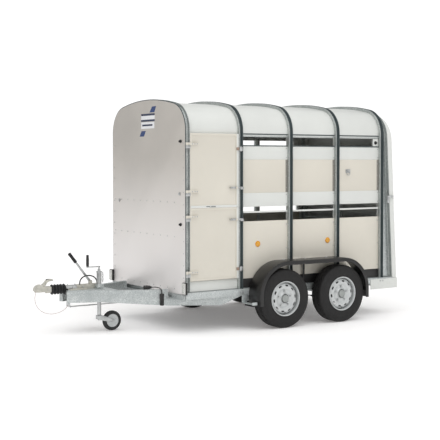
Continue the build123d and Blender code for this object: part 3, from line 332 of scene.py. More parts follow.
@dataclass(frozen=True)
class Painted(Finish):
    """Coated sheet or moulding: faint peel, slight tone drift and a thin darkening low down."""

    rough: float = 0.4
    peel: float = 300.0
    depth: float = 0.0003
    drift: float = 0.95
    coat: float = 0.15
    metal: float = 0.0

    def dress(self, graph: Graph) -> None:
        """Wires peel, drift and a darkening that thins upward."""
        broad = graph.noise(3.0, 5.0)
        # Darker towards the bottom: a mottled darkening that fades out with height.
        low = graph.spread(graph.up(), 0.22, 0.0, 0.35, 1.0)
        inputs = {0: low, 1: graph.noise(26.0, 6.0)}
        low_darkening = graph.add("ShaderNodeMath", inputs, operation="MULTIPLY")
        dark = darker(self.colour, self.drift)
        tone = graph.mix(graph.spread(broad, 0, 1), dark, linear(self.colour))
        graph.wire(
            Base_Color=graph.mix(low_darkening.outputs[0], tone, darker(self.colour, 0.55)),
            Roughness=graph.spread(broad, self.rough - 0.05, self.rough + 0.08),
            Normal=graph.height(graph.noise(self.peel, 3.0), self.depth, 0.5),
        )
        graph.uniform(Coat_Weight=self.coat, Metallic=self.metal)


@dataclass(frozen=True)
class Rubber(Finish):
    """Rubber: dull, finely pitted, with a grey bloom."""

    bloom: str = "#3A3A3B"
    pits: float = 700.0

    def dress(self, graph: Graph) -> None:
        """Wires the bloom and the pits."""
        broad = graph.noise(14.0, 6.0)
        share = graph.spread(broad, 0, 1, 0.35, 0.8)
        graph.wire(
            Base_Color=graph.mix(share, linear(self.colour), linear(self.bloom)),
            Roughness=graph.spread(broad, 0.62, 0.8),
            Normal=graph.height(graph.noise(self.pits, 2.0), 0.0004, 0.5),
        )


@dataclass(frozen=True)
class TreadPlate(Finish):
    """Floor plate with raised lozenges, 30 mm apart."""

    def dress(self, graph: Graph) -> None:
        """Wires two crossed sets of lozenges into the height."""
        sets = []
        for turn, shift in ((0.785, 0.0), (-0.785, 0.5)):
            inputs = {"Vector": graph.place, "Rotation": (0, 0, turn), "Location": (shift, 0, 0)}
            inputs["Scale"] = (33.0, 33.0, 0.0)
            where = graph.add("ShaderNodeMapping", inputs).outputs[0]
            cell = {"Vector": where, "Scale": 1.0, "Randomness": 0.0}
            gap = graph.add("ShaderNodeTexVoronoi", cell).outputs["Distance"]
            sets.append(graph.spread(gap, 1.0, 0.0, 0.16, 0.24))
        both = graph.add("ShaderNodeMath", {0: sets[0], 1: sets[1]}, operation="MAXIMUM").outputs[0]
        wear = graph.noise(9.0, 5.0)
        tone = graph.mix(graph.spread(wear, 0, 1), darker(self.colour, 0.6), linear(self.colour))
        graph.wire(
            Base_Color=tone,
            Roughness=graph.spread(wear, 0.35, 0.55),
            Normal=graph.height(both, 0.0015, 0.9),
        )
        graph.uniform(Metallic=0.9)


@dataclass(frozen=True)
class LensFinish(Finish):
    """Moulded lens: clear coloured plastic over a fluted back."""

    flutes: float = 260.0

    def dress(self, graph: Graph) -> None:
        """Wires the flutes behind the gloss."""
        wave = {"Vector": graph.place, "Scale": self.flutes, "Distortion": 0.0}
        flute = graph.add("ShaderNodeTexWave", wave, bands_direction="Z").outputs["Fac"]
        graph.wire(
            Base_Color=graph.mix(flute, darker(self.colour, 0.55), linear(self.colour)),
            Normal=graph.height(flute, 0.0008, 0.5),
        )
        graph.uniform(Roughness=0.12, Coat_Weight=0.6)


GALVANISED = Galvanised("hot_dip_zinc", "galvanised", "#D3D7D6", shade="#AEB4B4", spangle=150.0)
HOOP_ZINC = Galvanised("hoop_zinc", "galvanised", "#D2D5D2", shade="#AAB0AF", spangle=150.0)
# Painted shade: a dark finish for strips laid where a hoop's channel, the vent or the door strip's
# slots are in shade.
CHANNEL_SHADE = Painted("weathered_channel", "galvanised", "#545E60", rough=0.6, metal=0.3, drift=0.8)
FRONT_SHEET = MillSheet("rolled_sheet", "front_sheet", "#CFCAC3")
WHITE = Painted("white_coated_sheet", "white_sheet", "#DDDFDB", rough=0.38)
CREAM = Painted(
    "cream_board", "cream_panel", "#DBD6CA", rough=0.5, peel=520.0, depth=0.0005, coat=0.0
)
CATCH_BROWN = Painted("catch_nylon", "soft_rubber", "#9B8475", rough=0.5)
EDGE_STRIP = Painted("grey_edge_strip", "cream_panel", "#8D8A83", rough=0.5)
TREAD = TreadPlate("lozenge_plate", "tread_plate", "#A9ACAD")
BLACK_PLASTIC = Painted(
    "moulded_black", "black_plastic", "#151414", rough=0.38, peel=600.0, depth=0.0006, drift=0.8
)
BLACK_STEEL = Painted(
    "black_painted_steel", "black_steel", "#201F1F", rough=0.55, peel=160.0, drift=0.7
)
CAST = Plated("cast_iron", "cast_grey", "#CFCDC3", rough=0.5, metal=0.3, grain=190.0)
ZINC = Plated("bright_zinc", "zinc_plate", "#C9CBCB", rough=0.3)
CAP_GREY = Plated("hub_cap_grey", "wheel_silver", "#A9ADAB", rough=0.42, metal=0.5)
SOFT_RUBBER = Rubber("moulded_rubber", "soft_rubber", "#0F0F10", bloom="#28282A")
TYRE = Rubber("road_rubber", "tyre", "#0E0D0D", bloom="#1C1B1B", pits=450.0)
JOCKEY_TYRE = Rubber("castor_rubber", "jockey_tyre", "#1B1B1B")
WHEEL_SILVER = Painted(
    "silver_lacquer", "wheel_silver", "#CBCECE", rough=0.34, metal=0.45, coat=0.3, drift=0.9
)
SLEEVE = Painted("cable_pvc", "cable_sleeve", "#A8928C", rough=0.4, coat=0.4, peel=900.0)
DECAL_WHITE = Painted("decal_white", "white_sheet", "#E9EAEC", rough=0.3)
DECAL_BLUE = Painted("decal_blue", "white_sheet", "#16386F", rough=0.3)
DECAL_NAVY = Painted("decal_navy", "white_sheet", "#1A2647", rough=0.3)
CLEAR_LENS = LensFinish("clear_lens", "lamp", Lens.CLEAR.value)
AMBER_LENS = LensFinish("amber_lens", "lamp", Lens.AMBER.value)
RED_LENS = LensFinish("red_lens", "lamp", Lens.RED.value)


# ---- Modelling -------------------------------------------------------------------------------


def deselect() -> None:
    """Leaves object mode with nothing selected."""
    if bpy.context.object and bpy.context.object.mode != "OBJECT":
        bpy.ops.object.mode_set(mode="OBJECT")
    bpy.ops.object.select_all(action="DESELECT")


def pick(item: Item) -> None:
    """Makes one object the selected and active one."""
    deselect()
    item.select_set(True)
    bpy.context.view_layer.objects.active = item


@contextmanager
def editing(item: Item, kind: str = "VERT", action: str = "SELECT") -> Iterator[None]:
    """Edit mode on one object, left again at the end.

    Args:
        item: The object.
        kind: What can be selected: VERT or FACE.
        action: SELECT to start with all of it selected, DESELECT with none.
    """
    pick(item)
    bpy.ops.object.mode_set(mode="EDIT")
    bpy.ops.mesh.select_mode(type=kind)
    bpy.ops.mesh.select_all(action=action)
    yield
    bpy.ops.object.mode_set(mode="OBJECT")


def settle(item: Item) -> None:
    """Moves an object's place, turn and size into its mesh."""
    pick(item)
    bpy.ops.object.transform_apply(location=True, rotation=True, scale=True)


def turned(item: Item, about_z: float) -> Item:
    """The same piece, turned about Z."""
    item.rotation_euler = (0, 0, about_z)
    settle(item)
    return item


def apply_all(item: Item) -> None:
    """Applies an object's modifiers in order."""
    pick(item)
    for modifier in list(item.modifiers):
        bpy.ops.object.modifier_apply(modifier=modifier.name)


def soften(item: Item, width: float, segments: int = 2, angle: float = 30.0) -> None:
    """Rounds the edges that are sharper than an angle, and shades the rest smooth.

    Args:
        item: The object.
        width: Width of the rounding.
        segments: Steps across it.
        angle: Degrees past which an edge is rounded.
    """
    bevel = item.modifiers.new("edge", "BEVEL")
    bevel.width = width
    bevel.segments = segments
    bevel.limit_method = "ANGLE"
    bevel.angle_limit = math.radians(angle)
    bevel.use_clamp_overlap = True
    bevel.harden_normals = False
    apply_all(item)
    bpy.ops.object.shade_smooth_by_angle(angle=math.radians(angle + 8))


def named(name: str) -> Item:
    """Names the object that was just added."""
    item = bpy.context.object
    item.name = item.data.name = name
    return item


def brick(name: str, low: tuple, high: tuple, edge: float = 0.001) -> Item:
    """A rectangular piece with rounded edges between two corners.

    Args:
        name: The piece's name.
        low: One corner.
        high: The other corner.
        edge: Rounding of its edges.

    Returns:
        The piece.
    """
    deselect()
    bpy.ops.mesh.primitive_cube_add(size=1, location=(Vector(low) + Vector(high)) / 2)
    item = named(name)
    size = [abs(b - a) for a, b in zip(low, high)]
    item.scale = size
    settle(item)
    soften(item, min(edge, 0.45 * min(size)))
    return item


def hexagon(radius: float, depth: float, edge: float, turn: float = 0.0, out: float = 0.0) -> Item:
    """A nut or the head of a bolt, at the origin.

    Args:
        radius: Half its width over corners.
        depth: How thick it is.
        edge: Rounding of its edges.
        turn: Its turn about Y, from upright.
        out: How far its middle is along X.

    Returns:
        The piece.
    """
    deselect()
    bpy.ops.mesh.primitive_cylinder_add(
        vertices=6, radius=radius, depth=depth, rotation=(0, turn, 0), location=(out, 0, 0)
    )
    item = named("nut")
    settle(item)
    soften(item, edge)
    return item


def chain_of_points(name: str, points: list) -> Item:
    """A bare line of vertices, left in edit mode with all of it selected."""
    deselect()
    bpy.ops.mesh.primitive_plane_add(size=0.01, location=(0, 0, 0))
    item = named(name)
    bpy.ops.object.mode_set(mode="EDIT")
    bpy.ops.mesh.select_mode(type="VERT")
    bpy.ops.mesh.select_all(action="SELECT")
    bpy.ops.mesh.merge(type="CENTER")
    bpy.ops.transform.translate(value=points[0])
    for before, after in zip(points, points[1:]):
        step = tuple(b - a for a, b in zip(before, after))
        bpy.ops.mesh.extrude_vertices_move(TRANSFORM_OT_translate={"value": step})
    bpy.ops.mesh.select_all(action="SELECT")
    return item


def lathe(
    name: str, start: tuple, axis: tuple, section: list, steps: int = 48, smooth: float = 35.0
) -> Item:
    """A piece turned about an axis.

    Args:
        name: The piece's name.
        start: Where the axis starts.
        axis: Which way it runs.
        section: (distance along the axis, radius) points, closed or ending on the axis.
        steps: Faces round it.
        smooth: Degrees under which edges are shaded smooth.

    Returns:
        The piece.
    """
    item = chain_of_points(name, [(radius, 0.0, along) for along, radius in section])
    bpy.ops.mesh.spin(steps=steps, angle=2 * math.pi, center=(0, 0, 0), axis=(0, 0, 1))
    bpy.ops.mesh.select_all(action="SELECT")
    bpy.ops.mesh.remove_doubles(threshold=0.00002)
    bpy.ops.mesh.normals_make_consistent(inside=False)
    bpy.ops.object.mode_set(mode="OBJECT")
    item.rotation_mode = "QUATERNION"
    item.rotation_quaternion = Vector((0, 0, 1)).rotation_difference(Vector(axis))
    item.location = start
    settle(item)
    bpy.ops.object.shade_smooth_by_angle(angle=math.radians(smooth))
    return item


def mirrored(section: list, length: float) -> list:
    """A turned section run backward from a length, to close a symmetrical piece."""
    return [(length - along, radius) for along, radius in reversed(section)]


def plate(name: str, outline: list, thick: tuple, edge: float = 0.001, segments: int = 2) -> Item:
    """A flat piece cut to an outline.

    Args:
        name: The piece's name.
        outline: Its corners in space, all in one plane.
        thick: The way and distance that it is thickened.
        edge: Rounding of its edges.
        segments: Steps in that rounding.

    Returns:
        The piece.
    """
    item = chain_of_points(name, outline)
    bpy.ops.mesh.edge_face_add()
    bpy.ops.mesh.extrude_region_move(TRANSFORM_OT_translate={"value": tuple(thick)})
    bpy.ops.mesh.select_all(action="SELECT")
    bpy.ops.mesh.normals_make_consistent(inside=False)
    bpy.ops.object.mode_set(mode="OBJECT")
    soften(item, edge, segments)
    return item


def rod(
    name: str, start: tuple, end: tuple, radius: float, edge: float = 0.001, steps: int = 24
) -> Item:
    """A round bar with rounded ends between two points."""
    run = Vector(end) - Vector(start)
    edge = min(edge, 0.4 * radius, 0.4 * run.length)
    section = [(0, 0), (0, radius - edge), (edge * 0.3, radius - edge * 0.3), (edge, radius)]
    return lathe(name, start, run, section + mirrored(section, run.length), steps, 40)


def twin(item: Item, name: str) -> Item:
    """A copy of an object with its own mesh and none of its tags."""
    made = item.copy()
    made.data = item.data.copy()
    made.parent = None
    for key in [key for key in made.keys() if key.startswith("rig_")]:
        del made[key]
    bpy.context.collection.objects.link(made)
    made.name = made.data.name = name
    return made


def joined(items: list, name: str) -> Item:
    """Joins objects into one, with its place in its mesh."""
    deselect()
    for item in items:
        item.select_set(True)
    bpy.context.view_layer.objects.active = items[0]
    if len(items) > 1:
        bpy.ops.object.join()
    item = named(name)
    settle(item)
    return item


def copies(model: Item, places: list, name: str) -> Item:
    """One object with a copy of a piece at each place, in the piece's stead."""
    made = []
    for place in places:
        made.append(twin(model, name))
        made[-1].location = place
    bpy.data.objects.remove(model)
    return joined(made, name)


def flipped(item: Item, name: str) -> Item:
    """A mirror copy on the other side of the trailer."""
    made = twin(item, name)
    made.scale = (-1, 1, 1)
    settle(made)
    with editing(made):
        bpy.ops.mesh.normals_make_consistent(inside=False)
    return made


def without(item: Item, boxes: list) -> None:
    """Deletes the parts of a mesh that lie in any of some (low, high) boxes."""
    with editing(item, action="DESELECT"):
        mesh = bmesh.from_edit_mesh(item.data)
        for vertex in mesh.verts:
            for low, high in boxes:
                if all(a <= c <= b for a, c, b in zip(low, vertex.co, high)):
                    vertex.select_set(True)
        bmesh.update_edit_mesh(item.data)
        bpy.ops.mesh.delete(type="VERT")


def refined(
    node: str, edge: float, segments: int = 2, angle: float = 30.0, less: list | None = None
) -> Item:
    """A welded copy of a CAD node with rounded edges, which stands for the node.

    Args:
        node: The CAD node.
        edge: Rounding of its edges.
        segments: Steps in that rounding.
        angle: Degrees past which an edge is rounded.
        less: (low, high) boxes that are emptied, because another piece takes their place.

    Returns:
        The piece.
    """
    item = twin(bpy.data.objects[node], f"{node}_made")
    item.data.materials.clear()
    pick(item)
    bpy.ops.mesh.customdata_custom_splitnormals_clear()
    with editing(item):
        bpy.ops.mesh.remove_doubles(threshold=0.00004)
        bpy.ops.mesh.dissolve_limited(angle_limit=math.radians(0.6))
    if less:
        without(item, less)
    soften(item, edge, segments, angle)
    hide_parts(node)
    return item


def fit(item: Item, body: str, finish: Finish) -> Item:
    """Gives a piece its finish and the CAD body it rides on."""
    item.data.materials.clear()
    item.data.materials.append(finish.material())
    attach(item, body)
    log.info("%s rides on %s in %s", item.name, body, finish.name)
    return item


@dataclass
class Layout:
    """Where things are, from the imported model."""

    front: float = 0.0

    def __post_init__(self) -> None:
        """Reads the first hoop's place."""
        low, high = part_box("hoop_1")
        self.front = (low.y + high.y) / 2

    def at(self, x: float, y: float, z: float) -> tuple[float, float, float]:
        """A point given in millimetres, with y from the first hoop."""
        return (x / 1000, self.front + y / 1000, z / 1000)


@dataclass
class Group:
    """Pieces that are placed in millimetres."""

    layout: Layout

    def at(self, x: float, y: float, z: float, side: Side = Side.LEFT) -> tuple:
        """A point in metres, on one side of the trailer."""
        return self.layout.at(side.value * x, y, z)

    def block(
        self, name: str, low: tuple, high: tuple, edge: float = 0.001, side: Side = Side.LEFT
    ) -> Item:
        """A rectangular piece between two corners in millimetres.

        Args:
            name: The piece's name.
            low: One corner.
            high: The other corner.
            edge: Rounding of its edges, in metres.
            side: The side of the trailer.

        Returns:
            The piece.
        """
        return brick(name, self.at(*low, side), self.at(*high, side), edge)


# ---- Cords -----------------------------------------------------------------------------------


@dataclass
class Cords(Group):
    """The breakaway cable, the brake cable that loops over the casting, and the plug's lead."""

    breakaway: tuple = (
        (38, -1282, 442), (38, -1293, 394), (37, -1292, 345), (36, -1274, 298), (36, -1243, 258),
        (36, -1202, 230), (37, -1155, 214), (38, -1105, 209), (40, -1056, 215), (44, -1008, 230),
        (48, -968, 256), (50, -947, 288.6),
    )
    held: tuple = (
        (28, -812, 477.8), (28, -810, 512), (29, -789, 544), (30, -750, 563), (31, -701, 565),
        (31, -654, 549), (30, -623, 515), (28, -619, 477.8),
    )
    lead: tuple = (
        (392.3, -192.8, 447.3), (407.1, -162.5, 448.3), (432.9, -139.7, 444.3),
        (456.6, -124.7, 432.3), (469.0, -121.7, 412), (469.9, -122.1, 388.3),
    )

    def strand(self, name: str, route: tuple, radius: float, finish: Finish) -> Item:
        """Lays one cord along its route, given in millimetres."""
        curve = bpy.data.curves.new(name, "CURVE")
        curve.dimensions = "3D"
        spline = curve.splines.new("NURBS")
        spline.points.add(len(route) - 1)
        for point, place in zip(spline.points, route):
            point.co = (*self.at(*place), 1.0)
        spline.order_u = 3
        spline.use_endpoint_u = True
        spline.resolution_u = 12
        curve.bevel_depth = radius
        curve.bevel_resolution = 5
        curve.use_fill_caps = True
        item = bpy.data.objects.new(name, curve)
        bpy.context.collection.objects.link(item)
        return fit(item, "trailer", finish)

    def build(self) -> None:
        """Lays the cords. Each row's last number is the cord's length."""
        rows = (
            ("breakaway_strand", self.breakaway, 0.002, SLEEVE, "breakaway_cable", 0.533),
            ("held_strand", self.held, 0.006, SOFT_RUBBER, "held_cable", 0.294),
            ("plug_strand", self.lead, 0.0045, SOFT_RUBBER, "plug_lead", 0.145),
        )
        for name, route, radius, finish, node, length in rows:
            item = self.strand(name, route, radius, finish)
            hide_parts(node)
            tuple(self.at(*route[0]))


# ---- Wheels ----------------------------------------------------------------------------------


@dataclass
class Wheel:
    """One road wheel. Lengths are from the wheel's inner side along its axle."""

    inner: float = 0.795
    width: float = 0.165
    studs: int = 5
    stud_circle: float = 0.075
    tread_steps: int = 120
    disc_steps: int = 100

    def spun(self, name: str, section: list, steps: int = 64, smooth: float = 35.0) -> Item:
        """A piece turned about the axle."""
        return lathe(name, (self.inner, 0, 0), (1, 0, 0), section, steps, smooth)

    def choose(
        self, item: Item, steps: int, along: tuple, out: tuple, every: int, first: int, run: int = 1
    ) -> None:
        """Selects faces of a turned piece that is being edited.

        Args:
            item: The piece.
            steps: Faces round it.
            along: The least and most distance along the axle.
            out: The least and most distance from it.
            every: How many faces round there are from one choice to the next.
            first: The first face that is chosen.
            run: Faces chosen in a row.
        """
        mesh = bmesh.from_edit_mesh(item.data)
        for face in mesh.faces:
            middle = face.calc_center_median()
            number = round(math.atan2(middle.z, middle.y) / (2 * math.pi) * steps - 0.5)
            here = along[0] <= middle.x - self.inner <= along[1]
            if here and out[0] < math.hypot(middle.y, middle.z) < out[1]:
                if (number - first) % every < run:
                    face.select_set(True)
        bmesh.update_edit_mesh(item.data)

    def tyre(self) -> Item:
        """The tyre, with grooves round it and notches across its shoulders and middle ribs."""
        half = [(0.017, 0.1718), (0.011, 0.176), (0.0065, 0.186), (0.0045, 0.194)]
        half += [(0.0052, 0.1955), (0.0022, 0.206), (0.0005, 0.222), (0.0, 0.238)]
        half += [(0.0008, 0.252), (0.0022, 0.2535), (0.0024, 0.262), (0.0014, 0.2635)]
        half += [(0.004, 0.277), (0.0085, 0.289), (0.014, 0.2965), (0.021, 0.3005), (0.031, 0.3018)]
        for groove in (0.0385, 0.061):
            half += [(groove - 0.004, 0.3026), (groove - 0.0028, 0.2955)]
            half += [(groove + 0.0028, 0.2955), (groove + 0.004, 0.3028)]
        section = half + mirrored(half, self.width)
        item = self.spun("tyre", [*section, section[0]], self.tread_steps, 32)
        tread = (0.2985, 1.0)
        ribs = (
            (0.02, 0.032, 3, 0), (0.133, 0.146, 3, 1), (0.043, 0.057, 4, 0), (0.107, 0.122, 4, 2)
        )
        for low, high, every, first in ribs:
            with editing(item, "FACE", "DESELECT"):
                self.choose(item, self.tread_steps, (low, high), tread, every, first)
                bpy.ops.mesh.inset(thickness=0.0045, depth=-0.006, use_individual=True)
        return item

    def disc(self) -> Item:
        """The pressed wheel disc, with its slots cut and its edges rounded."""
        section = [(0.135, 0.060), (0.1335, 0.068), (0.1335, 0.084), (0.1375, 0.092)]
        section += [(0.143, 0.102), (0.1445, 0.110), (0.145, 0.118), (0.1452, 0.126)]
        section += [(0.1445, 0.134), (0.142, 0.142), (0.136, 0.151), (0.128, 0.1585)]
        section += [(0.118, 0.1605)]
        item = self.spun("disc", section, self.disc_steps, 40)
        with editing(item, "FACE", "DESELECT"):
            self.choose(item, self.disc_steps, (0, self.width), (0.125, 0.141), 10, 0, 4)
            bpy.ops.mesh.delete(type="FACE")
        wall = item.modifiers.new("wall", "SOLIDIFY")
        wall.thickness = 0.0035
        wall.offset = -1.0
        round_off = item.modifiers.new("round", "SUBSURF")
        round_off.levels = round_off.render_levels = 1
        apply_all(item)
        bpy.ops.object.shade_smooth_by_angle(angle=math.radians(50))
        return item

    def barrel(self) -> Item:
        """The rim's well and its rolled flanges."""
        outer = self.width - 0.003
        section = [(0.01, 0.1615), (0.01, 0.1712), (0.03, 0.1712), (0.045, 0.163), (0.1, 0.163)]
        section += [(0.118, 0.1712), (outer - 0.012, 0.1714), (outer - 0.0075, 0.1735)]
        section += [(outer - 0.006, 0.1785), (outer - 0.003, 0.1798), (outer, 0.1785)]
        section += [(outer + 0.0005, 0.175), (outer - 0.0015, 0.1695), (outer - 0.008, 0.1665)]
        section += [(outer - 0.03, 0.1655), (0.118, 0.1645), (0.1, 0.158), (0.045, 0.158)]
        section += [(0.03, 0.1615), (0.01, 0.1615)]
        return self.spun("barrel", section, 96, 40)

    def hub(self) -> tuple[Item, Item, Item]:
        """The hub's flange, the cap in it and the brake drum behind the disc."""
        collar = [(0.118, 0.0465), (0.118, 0.064), (0.1345, 0.064), (0.1365, 0.058)]
        collar += [(0.141, 0.053), (0.1455, 0.051), (0.147, 0.0495), (0.147, 0.0465)]
        collar += [(0.118, 0.0465)]
        cap = [(0.12, 0.0), (0.12, 0.036), (0.128, 0.0405), (0.148, 0.0405), (0.1565, 0.0375)]
        cap += [(0.1595, 0.032), (0.1606, 0.018), (0.161, 0.0)]
        drum = [(-0.009, 0.016), (-0.009, 0.100), (-0.004, 0.108), (0.04, 0.108), (0.046, 0.1)]
        drum += [(0.05, 0.06), (0.118, 0.055), (0.118, 0.016), (-0.009, 0.016)]
        return self.spun("collar", collar), self.spun("cap", cap, 48), self.spun("drum", drum)

    def nuts(self) -> Item:
        """Five wheel nuts on their studs."""
        nut = hexagon(0.0105, 0.014, 0.0016, math.pi / 2)
        stud = rod("stud", (-0.01, 0, 0), (0.0115, 0, 0), 0.0055, 0.001, 12)
        places = []
        for number in range(self.studs):
            angle = math.pi / 2 + number * 2 * math.pi / self.studs
            across, up = self.stud_circle * math.cos(angle), self.stud_circle * math.sin(angle)
            places.append((self.inner + 0.1395, across, up))
        return copies(joined([nut, stud], "nut"), places, "nuts")

    def valve(self) -> Item:
        """The tyre valve through the disc."""
        section = [(0, 0), (0, 0.0045), (0.014, 0.004), (0.016, 0.0042), (0.026, 0.0042)]
        section += [(0.028, 0.003), (0.028, 0)]
        return lathe("valve", (self.inner + 0.128, 0.0, -0.147), (1, 0, 0.12), section, 12, 40)

    def build(self) -> None:
        """Builds one wheel and fits copies of it at all four corners."""
        collar, cap, drum = self.hub()
        parts = [
            (self.tyre(), TYRE, "tyre"), (self.barrel(), WHEEL_SILVER, "rim"),
            (self.disc(), WHEEL_SILVER, None), (collar, WHEEL_SILVER, None),
            (cap, CAP_GREY, None), (self.nuts(), ZINC, None),
            (self.valve(), SOFT_RUBBER, None), (drum, BLACK_STEEL, None),
        ]
        for side in Side:
            for end in ("front", "rear"):
                corner = f"{end}_{side.word}"
                low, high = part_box(f"rim_{corner}")
                middle = (low + high) / 2
                for model, finish, node in parts:
                    copy = flipped if side is Side.RIGHT else twin
                    item = copy(model, f"{model.name}_{corner}_made")
                    item.location = (0, middle.y, middle.z)
                    settle(item)
                    fit(item, f"wheel_{corner}", finish)
                    if node:
                        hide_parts(f"{node}_{corner}")
        for model, _, _ in parts:
            bpy.data.objects.remove(model)


# ---- Coupling and drawbar --------------------------------------------------------------------


@dataclass
class Coupling(Group):
    """The coupling head, its handle, the gaiter, the casting and the handbrake."""

    axis: float = 445.0
    folds: int = 5
    gaiter_ends: tuple = (-1113.7, -955.3)
    gaiter_keep: float = 0.431  # the share of its length that is left at full travel
    lever_angle: float = 52.0

    def gaiter(self) -> None:
        """The pleated rubber gaiter."""
        start, end = self.gaiter_ends
        length = (end - start) / 1000
        rise = [(0.06, 0.0305), (0.2, 0.04), (0.36, 0.0485)]
        pleat = [*rise, (0.5, 0.0505), *mirrored(rise, 1.0)]
        section = [(0.0, 0.031)]
        for fold in range(self.folds):
            section += [((fold + share) * length / self.folds, out) for share, out in pleat]
        section += [(length, 0.031), (length, 0.0275), (0.0, 0.0275), (0.0, 0.031)]
        start_at, end_at = self.at(0, start, self.axis), self.at(0, end, self.axis)
        item = lathe("gaiter_bellows", start_at, (0, 1, 0), section, 48, 60)
        fit(item, "trailer", SOFT_RUBBER)
        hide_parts("gaiter")
        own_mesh(item)
        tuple(end_at)

    def cut(self, name: str, outline: list, half: float, edge: float, segments: int) -> Item:
        """A plate upright along the trailer, cut to a (y, z) outline, with half its thickness."""
        corners = [self.at(-half, y, z) for y, z in outline]
        return plate(name, corners, (half / 500, 0, 0), edge, segments)

    def head(self) -> None:
        """The pressed head, its handle and its through bolts."""
        fit(refined("coupling_head", 0.003, 3, 25), "coupling", CAST)
        profile = [(-1280, 438), (-1280, 460), (-1273, 477), (-1257, 491), (-1237, 499)]
        profile += [(-1214, 501), (-1204, 496), (-1202, 478), (-1202, 432)]
        fit(self.cut("head_shell", profile, 41, 0.013, 5), "coupling", CAST)
        cheek = [(-1200, 487), (-1199, 503), (-1184, 519), (-1168, 532), (-1150, 531)]
        cheek += [(-1156, 508), (-1166, 490)]
        grip = [(-1171, 521), (-1168, 534), (-1150, 546), (-1124, 551), (-1098, 550), (-1089, 543)]
        grip += [(-1090, 535), (-1104, 531), (-1128, 530), (-1146, 522), (-1158, 514)]
        pair = [self.cut("cheek", cheek, 11.8, 0.003, 3), self.cut("grip", grip, 21, 0.006, 4)]
        lever = fit(joined(pair, "handle_made"), "coupling_handle", CAST)
        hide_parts("coupling_handle")
        slot = self.block("handle_slot", (-9, -1158, 541.5), (9, -1122, 552), 0.003)
        fit(slot, "coupling_handle", BLACK_PLASTIC)
        bolts = []
        for y in (-1150, -1128):
            bolts.append(rod("bolt", self.at(-36, y, 447), self.at(36, y, 447), 0.007, 0.001, 6))
        fit(joined(bolts, "head_bolts"), "coupling", ZINC)

    def casting(self) -> None:
        """The overrun's casting with its sleeve, straps, bolts, nipples and ribs."""
        at = self.at
        fit(refined("coupling_housing", 0.0025, 3, 25), "trailer", CAST)
        sleeve = [(0.0, 0.0325), (0.0, 0.0352), (0.006, 0.0362), (0.012, 0.0352), (0.013, 0.0342)]
        sleeve += [(0.1, 0.0342), (0.101, 0.0355), (0.11, 0.0355), (0.112, 0.0342)]
        sleeve += [(0.112, 0.0325), (0.0, 0.0325)]
        bearing = lathe("bearing_sleeve", at(0, -953, self.axis), (0, 1, 0), sleeve, 56, 35)
        fit(bearing, "trailer", ZINC)
        straps = []
        for y in (-985, -962):
            straps.append(self.block("strap", (46, y, 392), (51, y + 12, 452), 0.0015))
            straps.append(self.block("strap", (-51, y, 392), (-46, y + 12, 452), 0.0015))
        fit(joined(straps, "gaiter_straps"), "trailer", SOFT_RUBBER)
        ring = [(0, 0.004), (0, 0.0135), (0.0022, 0.0135), (0.0022, 0.004), (0, 0.004)]
        nut = [
            hexagon(0.0105, 0.009, 0.001),
            lathe("washer", (0, 0, -0.0065), (0, 0, 1), ring, 24, 30),
            rod("stud", (0, 0, -0.004), (0, 0, 0.0105), 0.006, 0.001, 12),
        ]
        places = [at(x, y, 459) for x in (-66, 66) for y in (-900, -790)]
        fit(copies(joined(nut, "nut"), places, "casting_nuts"), "trailer", ZINC)
        nipples, ribs = [], []
        for y in (-930, -850):
            nipples.append(rod("nipple", at(0, y, 477.5), at(0, y, 489), 0.0042, 0.0015, 10))
        fit(joined(nipples, "grease_nipples"), "trailer", ZINC)
        for s in (-1, 1):
            outline = [at(s * 38, -828, 444.5), at(s * 38, -828, 470), at(s * 52, -828, 444.5)]
            ribs.append(plate("rib", outline, (0, 0.008, 0)))
        fit(joined(ribs, "casting_ribs"), "trailer", CAST)

    def handbrake(self) -> None:
        """The lever and its grip, with finger ridges and a release button."""
        fit(refined("handbrake_lever", 0.0015), "handbrake", ZINC)
        turn = math.radians(self.lever_angle)
        way = Vector((0, -math.cos(turn), math.sin(turn)))
        section = [(0.0, 0.0), (0.0, 0.0145), (0.003, 0.0165)]
        for ridge in range(7):
            a = ridge * 0.0125
            section += [(0.010 + a, 0.0168), (0.0145 + a, 0.0152), (0.018 + a, 0.0152)]
        section += [(0.1, 0.0168), (0.109, 0.0175), (0.114, 0.0165), (0.1165, 0.012), (0.1165, 0.0)]
        start = Vector(self.at(0, -681, 497)) + way * 0.257
        fit(lathe("lever_grip", start, way, section, 32, 50), "handbrake", SOFT_RUBBER)

    def build(self) -> None:
        """Builds the coupling."""
        self.gaiter()
        self.head()
        self.casting()
        self.handbrake()


